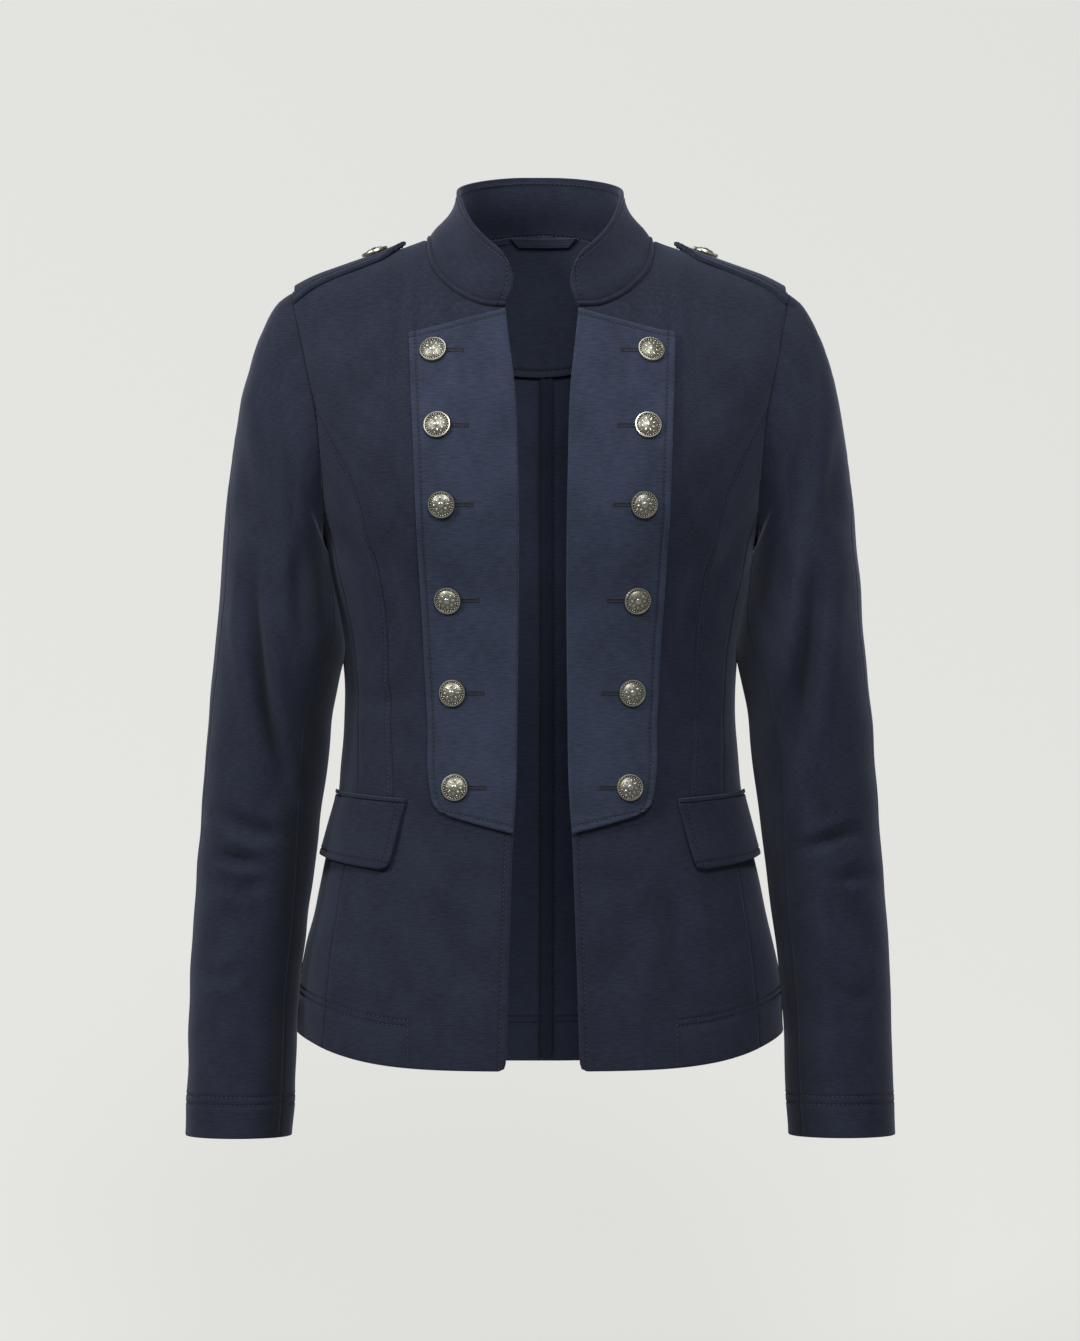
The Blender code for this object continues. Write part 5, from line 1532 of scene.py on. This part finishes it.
@dataclass
class ShoulderStrap:
    """The strap that lies along the shoulder, stitched round its edge."""

    coat: Coat
    side: Side
    needle: Needle
    outer_x: float = 189.0
    tip_x: float = 107.5
    point_length: float = 15.0
    half_width: float = 19.5
    cloth: float = 3.0
    lift: float = 0.6
    tip_rise: float = 1.6
    tip_narrowing: float = 0.45
    tip_curve: float = 1.5
    tip_bow: float = 5.25
    button_x: float = 126.0
    button_gap: float = 0.6
    passes: int = 4
    spacing: float = 3.2

    def place(self, x: Array, y: Array, lift: Array) -> tuple[Array, Array]:
        """Points above the shoulder, at distances before or behind its ridge.

        Args:
            x: Half widths.
            y: Distances behind the ridge.
            lift: Distances off the shoulder.

        Returns:
            The points and the outward directions.
        """
        form = self.coat.pattern.form
        ridge = form.ridge_level(x)
        level, opened = ridge.copy(), np.zeros_like(x)
        for _ in range(self.passes):
            square = form.measure(4, level)
            width = (1 - (x / form.measure(1, level)) ** square) ** (1 / square)
            depth = np.where(y < 0, form.measure(2, level), form.measure(3, level))
            opened = np.minimum(np.abs(y) / (depth * width), 1.0)
            level = ridge - form.shoulder_round * (1 - np.sqrt(1 - opened**2))
        normal = np.stack([np.full_like(x, form.shoulder_slope), np.copysign(opened, y), np.sqrt(1 - opened**2)], -1)
        normal /= np.linalg.norm(normal, axis=-1, keepdims=True)
        return np.stack([x, y, level], axis=-1) + lift[..., None] * normal, normal

    def build(self) -> None:
        """Builds the strap and its stitches."""
        xs, across = np.meshgrid(np.linspace(self.tip_x, self.outer_x, 60), np.linspace(-1, 1, 30))
        inset = np.clip(1 - (xs - self.tip_x) / self.point_length, 0, None)
        half = self.half_width * (1 - self.tip_narrowing * inset**self.tip_curve)
        tip = self.tip_rise * np.clip(1 - (xs - self.tip_x) / (2 * self.point_length), 0, None) ** 2
        place = xs - self.tip_bow * inset * (1 - across**2)
        grid, normals = self.place(place, half * across, self.lift + self.cloth + tip)
        fold = STITCHED_FOLD.distances
        points, outward = respaced(grid, normals, (fold, fold), (fold, FOLDED.distances), self.spacing)
        trims = {
            Edge.LEFT: STITCHED_FOLD, Edge.RIGHT: FOLDED, Edge.BOTTOM: STITCHED_FOLD, Edge.TOP: STITCHED_FOLD,
        }
        sheet = ClothSheet(points, outward, trims, level_grain=False)
        add_wall(self.coat, f"shoulder_strap_{self.side.word}", sheet, self.side, self.cloth, 0.0)
        self.needle.sew(sheet, Edge.LEFT, Edge.BOTTOM, Edge.TOP)

    def button_place(self) -> tuple[Array, Array]:
        """The strap button's foot and direction, on the +X half."""
        lift = np.array([self.lift + self.cloth + self.button_gap])
        point, up = self.place(np.array([self.button_x]), np.array([0.0]), lift)
        return point[0], up[0]


@dataclass
class BackNeck:
    """What shows inside the back of the neck: the facing and the hanger loop."""

    coat: Coat
    facing_half: float = 75.0
    facing_drop: float = -100.0
    facing_curve: float = 0.0034
    facing_top_gap: float = -1.7
    facing_corner_drop: float = 10.0
    facing_cloth: float = 1.2
    facing_gap: float = 1.9
    cloth: float = 1.8
    loop_centre: float = 4.0
    loop_half_top: float = 29.5
    loop_half_bottom: float = 21.5
    loop_top: float = 5.4
    loop_bottom: float = -2.0
    loop_cloth: float = 1.8
    loop_gap: float = 0.7

    def build(self) -> None:
        """Builds the facing, the loop and their stitches, which lie on the inner side."""
        pattern, form = self.coat.pattern, self.coat.pattern.form
        xs = np.linspace(-self.facing_half, self.facing_half, 61)
        neck = [(-x, z) for x, z in pattern.back_neck] + [(0.0, pattern.back_neck_centre)]
        neck = sorted([(-form.neck_half, 0.0), *neck, *pattern.back_neck, (form.neck_half, 0.0)])
        corner = self.facing_corner_drop * (xs / self.facing_half) ** 4
        top = np.interp(xs, *np.array(neck).T) - self.facing_top_gap - corner
        top += 1.2 * (1 - np.exp(-((xs / 25) ** 2)))
        bottom = self.facing_drop + self.facing_curve * xs**2
        levels = bottom + (top - bottom) * np.linspace(0, 1, 41)[:, None]
        grid = np.stack([form.turn_at(np.broadcast_to(xs, levels.shape), levels, True), levels], axis=2)[:, ::-1]
        places = columns(self.coat, block(self.coat, grid, STITCHED_FOLD, FOLDED), FOLDED, FOLDED)
        needle = Needle(stitch_template())
        self.inner_sheet(places, -(self.cloth + self.facing_gap), self.facing_cloth, "back_neck_facing",
                         {Edge.BOTTOM: STITCHED_FOLD}, needle)
        grid = []
        for share in np.linspace(0, 1, 9):
            half = self.loop_half_bottom + (self.loop_half_top - self.loop_half_bottom) * share
            level = self.loop_bottom + (self.loop_top - self.loop_bottom) * share
            line = self.loop_centre + np.linspace(half, -half, 31)
            grid.append(np.stack([form.turn_at(line, np.full(31, level), True), np.full(31, level)], axis=1))
        lift = -(self.cloth + self.facing_gap + self.facing_cloth + self.loop_gap)
        sheet = self.inner_sheet(np.array(grid), lift, self.loop_cloth, "hanger_loop", {}, None)
        inside = sheet.points[3] - sheet.normals[3] * (self.loop_cloth + 0.05)
        needle.row(inside, -sheet.normals[3])
        needle.finish(self.coat, "stitches_back_neck", Side.LEFT)

    def inner_sheet(
        self, places: Array, lift: float, cloth: float, node: str, trims: dict, needle: Needle | None
    ) -> ClothSheet:
        """Builds a sheet that lies inside the back.

        Args:
            places: Its places on the body.
            lift: Its outer face's distance off the body.
            cloth: Its thickness.
            node: The node that it stands for.
            trims: Its trims, pressed into the inner side.
            needle: The needle that sews its bottom edge.

        Returns:
            The sheet.
        """
        points, normals = on_form(self.coat, places)
        # near the neck the sheet hangs upright
        normals[..., 2] *= np.clip((-points[..., 2] - 10) / 40, 0, 1)
        normals /= np.linalg.norm(normals, axis=2, keepdims=True)
        points = points + lift * normals
        # the facing finish is the jersey painted lighter, as light inside the back neck
        sheet = ClothSheet(points, normals, trims, finishes=("facing", "facing"), level_grain=False)
        sheet.rise *= -1
        add_wall(self.coat, node, sheet, Side.LEFT, cloth, 0.0)
        if needle is not None:
            line, ups = sheet.path(Edge.BOTTOM, STITCHED_FOLD.stitches[0])
            needle.row(line - ups * (cloth + 0.1), -ups)
        return sheet


@dataclass
class MetalButton:
    """A domed metal button with a rim, a ring of beads and an eight-petalled flower in relief."""

    radius: float = 10.4
    sides: int = 48
    # inset, rise of each step of the face, as shares of the radius and in millimetres
    steps: tuple[Pair, ...] = (
        (0.035, 0.5), (0.075, 0.1), (0.05, -0.75), (0.03, -0.1), (0.10, 0.55), (0.03, 0.22),
        (0.16, 0.75), (0.16, 0.5), (0.14, 0.28), (0.10, 0.1),
    )
    beads: int = 28
    bead_ring: float = 0.80
    bead_size: Triple = (0.62, 0.62, 0.5)
    petals: int = 8
    petal_ring: float = 0.42
    petal_size: Triple = (1.8, 0.8, 0.24)
    leaf_ring: float = 0.63
    leaf_size: Triple = (0.7, 0.5, 0.25)
    centre_size: Triple = (2.3, 2.3, 0.5)

    def body(self) -> Piece:
        """The button's shell, from a low cylinder whose face is inset and raised step by step."""
        bpy.ops.object.select_all(action="DESELECT")
        bpy.ops.mesh.primitive_cylinder_add(
            vertices=self.sides, radius=self.radius * MM, depth=1.6 * MM, location=(0, 0, 0.8 * MM)
        )
        shell = bpy.context.object
        bpy.ops.object.mode_set(mode="EDIT")
        bpy.ops.mesh.select_mode(type="FACE")
        bpy.ops.mesh.select_all(action="DESELECT")
        bpy.ops.object.mode_set(mode="OBJECT")
        for face in shell.data.polygons:
            face.select = face.normal.z > 0.9
        bpy.ops.object.mode_set(mode="EDIT")
        for inset, rise in self.steps:
            bpy.ops.mesh.inset(thickness=inset * self.radius * MM)
            bpy.ops.transform.translate(value=(0, 0, rise * MM))
        bpy.ops.mesh.poke()
        bpy.ops.mesh.select_all(action="SELECT")
        bpy.ops.mesh.normals_make_consistent(inside=False)
        bpy.ops.object.mode_set(mode="OBJECT")
        return shell

    def face_height(self, radius: float) -> float:
        """The height of the face at a distance from the middle, in millimetres."""
        edge, height = 1.0, 1.6
        radii, heights = [1.0], [1.6]
        for inset, rise in self.steps:
            edge, height = edge - inset, height + rise
            radii.append(edge)
            heights.append(height)
        return float(np.interp(radius / self.radius, radii[::-1], heights[::-1]))

    def relief(self) -> list[Piece]:
        """The beads and petals on the face, drawn out of low balls."""
        made = []
        for k in range(self.beads):
            turn = 2 * math.pi * k / self.beads
            made.append(self.ball(self.bead_ring * self.radius, turn, self.bead_size))
        for k in range(self.petals):
            turn = 2 * math.pi * (k + 0.5) / self.petals
            made.append(self.ball(self.petal_ring * self.radius, turn, self.petal_size))
            made.append(self.ball(self.leaf_ring * self.radius, turn + math.pi / self.petals, self.leaf_size))
        made.append(self.ball(0.0, 0.0, self.centre_size))
        return made

    def ball(self, reach: float, turn: float, size: Triple) -> Piece:
        """One raised shape on the face, longest away from the middle."""
        bpy.ops.object.select_all(action="DESELECT")
        height = self.face_height(reach)
        place = (reach * math.cos(turn) * MM, reach * math.sin(turn) * MM, height * MM)
        bpy.ops.mesh.primitive_uv_sphere_add(segments=10, ring_count=6, radius=MM, location=place)
        ball = bpy.context.object
        ball.scale = size
        ball.rotation_euler = (0, 0, turn)
        bpy.ops.object.transform_apply(location=True, rotation=True, scale=True)
        return ball

    def build(self) -> tuple[Array, list, Array]:
        """Models the button once.

        Returns:
            Its points in millimetres, its faces and how deep in the relief each point lies, from 0 to 1.
        """
        parts = [self.body(), *self.relief()]
        points, faces, recess, start = [], [], [], 0
        for number, part in enumerate(parts):
            local = np.array([tuple(v.co) for v in part.data.vertices]) / MM
            if number == 0:
                local = np.array([tuple(part.matrix_world @ v.co) for v in part.data.vertices]) / MM
            out = np.linalg.norm(local[:, :2], axis=1) / self.radius
            ring = np.exp(-((out - self.bead_ring) / 0.07) ** 2) + 0.4 * np.clip((0.72 - out) / 0.05, 0, 1)
            recess.append(np.clip(ring if number == 0 else 0 * ring, 0, 1))
            points.append(local)
            faces += [[i + start for i in p.vertices] for p in part.data.polygons]
            start += len(local)
            bpy.data.objects.remove(part, do_unlink=True)
        return np.concatenate(points), faces, np.concatenate(recess)


@dataclass
class ButtonSet:
    """All the buttons, each a copy of one model."""

    coat: Coat
    model: tuple[Array, list, Array]

    def add(self, node: str, foot: Array, up: Array, side: Side, spin: float) -> None:
        """Sews one button on.

        Args:
            node: The node that it stands for.
            foot: Its foot on the +X half.
            up: Its direction there.
            side: The side that it is carried to.
            spin: How far it is turned about its shank, in radians.
        """
        points, faces, recess = self.model
        turned = np.array([side.value, 1.0, 1.0])
        aim = Vector((0, 0, 1)).rotation_difference(Vector(up * turned)).to_matrix()
        aim = np.array(aim @ Matrix.Rotation(spin, 3, "Z"))
        piece = link_mesh(f"metal_{node}", points @ aim.T + foot * turned, faces, [self.coat.finishes["pewter"]])
        layer = piece.data.attributes.new("recess", "FLOAT", "POINT")
        layer.data.foreach_set("value", recess.astype(np.float32))
        piece.data.set_sharp_from_angle(angle=math.radians(38))
        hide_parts(node)


def linear(code: str) -> tuple[float, float, float, float]:
    """Turns an sRGB hex colour to a linear one."""
    channels = [int(code[k:k + 2], 16) / 255 for k in (1, 3, 5)]
    return (*[c / 12.92 if c <= 0.04045 else ((c + 0.055) / 1.055) ** 2.4 for c in channels], 1.0)


def add_node(tree: Tree, kind: str, settings: dict, links: dict) -> bpy.types.Node:
    """Adds a node, with its settings and what feeds its inputs.

    Args:
        tree: The material's tree.
        kind: The node's type.
        settings: Values by property name, or by input name or number.
        links: The output sockets that feed inputs, by input name or number.

    Returns:
        The node.
    """
    node = tree.nodes.new(kind)
    for name, value in settings.items():
        if isinstance(name, int) or name in node.inputs:
            node.inputs[name].default_value = value
        else:
            setattr(node, name, value)
    for name, source in links.items():
        tree.links.new(source, node.inputs[name])
    return node


def noise(tree: Tree, place: Socket, **settings: float) -> Socket:
    """A noise texture's value at a place, with its settings by input name."""
    return add_node(tree, "ShaderNodeTexNoise", settings, {"Vector": place}).outputs["Fac"]


def ranged(tree: Tree, value: Socket, settings: dict) -> Socket:
    """A value carried from one range to another."""
    return add_node(tree, "ShaderNodeMapRange", settings, {"Value": value}).outputs["Result"]


def tint(tree: Tree, amount: Socket, low: str, high: str) -> Socket:
    """A colour between two hex colours."""
    ends = {"data_type": "RGBA", 6: linear(low), 7: linear(high)}
    return add_node(tree, "ShaderNodeMix", ends, {0: amount}).outputs[2]


def blank(name: str) -> tuple[Material, Tree, bpy.types.Node]:
    """A new material with its tree and its shader."""
    material = bpy.data.materials.new(name)
    material.use_nodes = True
    return material, material.node_tree, material.node_tree.nodes["Principled BSDF"]


@dataclass(frozen=True)
class Jersey:
    """Matt cotton double jersey, piece-dyed navy: an even cloth with faint slubs along the courses."""

    name: str
    light: str
    dark: str
    # the colour that the painted shade darkens the cloth towards
    seam: str
    sheen: float = 0.25
    # 8 mm slubs of 0.6 mm yarn; the yarn is drawn 1.1 mm thick, as it is too fine to show
    slub_length: float = 0.008
    slub_height: float = 0.0011
    blotch: float = 0.035

    def make(self) -> Material:
        """Makes the material."""
        material, tree, shader = blank(self.name)
        cloth = add_node(tree, "ShaderNodeUVMap", {"uv_map": "cloth"}, {}).outputs["UV"]
        scale = (1 / self.slub_length, 1 / self.slub_height, 1.0)
        slub_place = add_node(tree, "ShaderNodeMapping", {"Scale": scale}, {"Vector": cloth})
        slub = noise(tree, slub_place.outputs[0], Scale=1.0, Detail=3.0, Roughness=0.6)
        fine_place = add_node(tree, "ShaderNodeMapping", {"Scale": (900.0, 900.0, 1.0)}, {"Vector": cloth})
        fine = noise(tree, fine_place.outputs[0], Scale=1.0, Detail=2.0)
        blotches = noise(tree, cloth, Scale=1 / self.blotch, Detail=2.0)
        level = add_node(tree, "ShaderNodeMix", {"data_type": "FLOAT", 0: 0.35}, {2: slub, 3: blotches}).outputs[0]
        spread = ranged(tree, level, {"From Min": 0.36, "From Max": 0.64})
        base = tint(tree, spread, self.dark, self.light)
        # painted shade: the cloth's colour is darkened towards the seam colour
        painted_shade_layer = add_node(tree, "ShaderNodeAttribute", {"attribute_name": "painted_shade_layer"}, {}).outputs["Fac"]
        colour = add_node(
            tree, "ShaderNodeMix", {"data_type": "RGBA", 7: linear(self.seam)}, {0: painted_shade_layer, 6: base}
        ).outputs[2]
        grain = add_node(tree, "ShaderNodeMix", {"data_type": "FLOAT", 0: 0.45}, {2: slub, 3: fine}).outputs[0]
        bump = add_node(tree, "ShaderNodeBump", {"Strength": 0.28, "Distance": 0.0006}, {"Height": grain})
        tree.links.new(colour, shader.inputs["Base Color"])
        tree.links.new(bump.outputs[0], shader.inputs["Normal"])
        shader.inputs["Roughness"].default_value = 0.9
        shader.inputs["IOR"].default_value = 1.45
        shader.inputs["Specular IOR Level"].default_value = 0.25
        shader.inputs["Sheen Weight"].default_value = self.sheen
        shader.inputs["Sheen Roughness"].default_value = 0.45
        shader.inputs["Sheen Tint"].default_value = linear("#aab2c8")
        return material


@dataclass(frozen=True)
class Thread:
    """Spun polyester thread, dyed to the cloth's navy: a faint gloss that picks the stitches out."""

    name: str = "spun_polyester_thread"
    dark: str = "#1b1f2a"
    colour: str = "#2b303e"

    def make(self) -> Material:
        """Makes the material."""
        material, tree, shader = blank(self.name)
        place = add_node(tree, "ShaderNodeTexCoord", {}, {}).outputs["Object"]
        # 0.5 mm twist of the thread
        twist = noise(tree, place, Scale=1800.0, Detail=1.0)
        tree.links.new(tint(tree, twist, self.dark, self.colour), shader.inputs["Base Color"])
        shader.inputs["Roughness"].default_value = 0.6
        return material


@dataclass(frozen=True)
class Pewter:
    """Cast zinc alloy with an antique pewter plate: grey metal polished on the high parts, dark in the dips."""

    name: str = "antique_pewter_plate"
    bright: str = "#aaa89b"
    dark: str = "#37352e"

    def make(self) -> Material:
        """Makes the material."""
        material, tree, shader = blank(self.name)
        place = add_node(tree, "ShaderNodeTexCoord", {}, {}).outputs["Object"]
        # 1.2 mm patches of tarnish
        tarnish = noise(tree, place, Scale=800.0, Detail=4.0)
        recess = add_node(tree, "ShaderNodeAttribute", {"attribute_name": "recess"}, {}).outputs["Fac"]
        stain = add_node(
            tree, "ShaderNodeMath", {"operation": "MULTIPLY_ADD", 1: 0.5}, {0: tarnish, 2: recess}
        ).outputs[0]
        amount = ranged(tree, stain, {"From Min": 0.2, "From Max": 0.95})
        colour = tint(tree, amount, self.bright, self.dark)
        rough = ranged(tree, amount, {"To Min": 0.3, "To Max": 0.55})
        bump = add_node(tree, "ShaderNodeBump", {"Strength": 0.15, "Distance": 0.0001}, {"Height": tarnish})
        tree.links.new(colour, shader.inputs["Base Color"])
        tree.links.new(rough, shader.inputs["Roughness"])
        tree.links.new(bump.outputs[0], shader.inputs["Normal"])
        shader.inputs["Metallic"].default_value = 1.0
        return material


@dataclass
class Studio:
    """A pale floor that turns up behind, six soft lights and the camera."""

    floor_level: float = -0.95
    camera_distance: float = 4.5
    camera_turn: float = 1.0
    aim: Triple = (0.0, 0.0, -0.3324)
    frame_height: float = 1.0366
    wall: float = 2.2
    curve: float = 2.0
    # name, place, size, watts
    lamps: tuple[tuple[str, Triple, float, float], ...] = (
        ("key", (-2.3, -1.7, 1.3), 0.7, 66.0), ("front", (0.2, -2.2, 1.4), 0.8, 49.0),
        ("fill", (2.4, -1.8, 0.2), 1.6, 3.0), ("top", (0.0, -0.6, 1.8), 1.0, 12.0),
        ("side", (2.8, 0.6, 0.8), 1.2, 12.0), ("back", (-1.6, 1.8, 1.3), 1.0, 8.0),
    )

    def build(self) -> None:
        """Builds the stage, the lights and the camera."""
        self.backdrop()
        for lamp in self.lamps:
            self.light(*lamp)
        world = bpy.data.worlds.new("studio")
        world.use_nodes = True
        background = world.node_tree.nodes["Background"]
        background.inputs["Color"].default_value = linear("#f2f3f4")
        # the room gives little light but looks as pale as the paper
        seen = add_node(world.node_tree, "ShaderNodeLightPath", {}, {}).outputs["Is Camera Ray"]
        strength = ranged(world.node_tree, seen, {"To Min": 0.24, "To Max": 0.86})
        world.node_tree.links.new(strength, background.inputs["Strength"])
        bpy.context.scene.world = world
        bpy.context.scene.view_settings.view_transform = "Standard"
        self.camera()

    def backdrop(self) -> None:
        """A floor that curves up into a wall."""
        foot = 0.2
        profile = [(y, self.floor_level) for y in (-6.0, foot)]
        profile += [
            (foot + self.curve * math.sin(t), self.floor_level + self.curve * (1 - math.cos(t)))
            for t in np.linspace(0.1, math.pi / 2, 18)
        ]
        profile.append((self.wall, 4.5))
        points = [(x, y, z) for y, z in profile for x in (-6.0, 6.0)]
        faces = [[2 * k, 2 * k + 1, 2 * k + 3, 2 * k + 2] for k in range(len(profile) - 1)]
        mesh = bpy.data.meshes.new("backdrop")
        mesh.from_pydata(points, [], faces)
        mesh.shade_smooth()
        material, tree, shader = blank("matt_paper_backdrop")
        # the paper is lit from behind too, which keeps it even but gives the coat little light
        seen = add_node(tree, "ShaderNodeLightPath", {}, {}).outputs["Is Camera Ray"]
        glow = ranged(tree, seen, {"To Min": 0.25, "To Max": 0.745})
        tree.links.new(glow, shader.inputs["Emission Strength"])
        shader.inputs["Base Color"].default_value = linear("#747472")
        shader.inputs["Emission Color"].default_value = linear("#e6e6e3")
        shader.inputs["Roughness"].default_value = 0.95
        # its back is left out, so that the coat shows from behind as well
        back = add_node(tree, "ShaderNodeNewGeometry", {}, {}).outputs["Backfacing"]
        clear = add_node(tree, "ShaderNodeBsdfTransparent", {}, {}).outputs[0]
        cut = add_node(tree, "ShaderNodeMixShader", {}, {0: back, 1: shader.outputs[0], 2: clear})
        output = next(node for node in tree.nodes if node.type == "OUTPUT_MATERIAL")
        tree.links.new(cut.outputs[0], output.inputs["Surface"])
        mesh.materials.append(material)
        paper = bpy.data.objects.new("backdrop", mesh)
        bpy.context.scene.collection.objects.link(paper)

    def light(self, name: str, place: Triple, size: float, watts: float) -> None:
        """Adds a square soft light aimed at the coat."""
        data = bpy.data.lights.new(name, "AREA")
        data.energy, data.size = watts, size
        lamp = bpy.data.objects.new(name, data)
        lamp.location = place
        lamp.rotation_euler = (Vector(self.aim) - Vector(place)).to_track_quat("-Z", "Y").to_euler()
        bpy.context.scene.collection.objects.link(lamp)

    def camera(self) -> None:
        """Adds the camera, level with the coat's middle."""
        data = bpy.data.cameras.new("view")
        data.sensor_fit, data.sensor_height = "VERTICAL", 36.0
        data.lens = data.sensor_height * self.camera_distance / self.frame_height
        turn = math.radians(self.camera_turn)
        place = Vector(self.aim) + self.camera_distance * Vector((-math.sin(turn), -math.cos(turn), 0))
        camera = bpy.data.objects.new("view", data)
        camera.location = place
        camera.rotation_euler = (Vector(self.aim) - place).to_track_quat("-Z", "Y").to_euler()
        bpy.context.scene.collection.objects.link(camera)
        bpy.context.scene.camera = camera


def main() -> None:
    """Loads the frame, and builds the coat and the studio."""
    logging.basicConfig(level=logging.INFO, format="%(message)s")
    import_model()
    finishes = {
        "jersey": Jersey("cotton_jersey_navy", "#202534", "#131724", "#08090f").make(),
        # painted light: the trim finish is a lighter copy of the jersey, so that the plackets look as brightly lit
        # as the fronts
        "trim": Jersey("cotton_jersey_navy_trim", "#2d3446", "#1e2332", "#0a0b11").make(),
        # painted light: the inside finish is the cloth's reverse face, drawn lighter than the jersey to stand in for
        # light inside the coat
        "inside": Jersey("cotton_jersey_navy_inside", "#31384b", "#272d3d", "#0d0f15", 0.2).make(),
        # painted light: the facing finish is drawn lighter still, to stand in for light on the inside of the back
        # neck
        "facing": Jersey("cotton_jersey_navy_facing", "#333a4b", "#292e3c", "#101218", 0.2).make(),
        "thread": Thread().make(),
        # the buttonhole twist also draws the painted shade in the buttonholes' slits
        "twist": Thread("buttonhole_twist", "#0c0e14", "#181b26").make(),
        "pewter": Pewter().make(),
    }
    coat = Coat(Pattern(), Drape(), finishes)
    stitch = stitch_template()
    buttons = ButtonSet(coat, MetalButton().build())
    for side in Side:
        needle = Needle(stitch)
        Bodice(coat, side, needle).build()
        needle.finish(coat, f"stitches_body_{side.word}", side)
        needle = Needle(stitch)
        Sleeve(coat, side, needle).build()
        needle.finish(coat, f"stitches_sleeve_{side.word}", side)
        needle = Needle(stitch)
        buttonholes = Needle(stitch)
        overlay = FrontOverlay(coat, side, needle, buttonholes)
        overlay.build()
        needle.finish(coat, f"stitches_placket_{side.word}", side)
        buttonholes.finish(coat, f"buttonholes_{side.word}", side, "twist")
        needle = Needle(stitch)
        Pocket(coat, side, needle).build()
        strap = ShoulderStrap(coat, side, needle)
        strap.build()
        needle.finish(coat, f"stitches_trim_{side.word}", side)
        for number, (foot, up) in enumerate(overlay.button_places(), 1):
            buttons.add(f"button_{side.word}_{number}", foot, up, side, 0.7 * number + side.value)
        buttons.add(f"button_strap_{side.word}", *strap.button_place(), side, 0.4)
    Collar(coat).build()
    BackNeck(coat).build()
    Studio().build()
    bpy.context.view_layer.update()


if __name__ == "__main__":
    main()
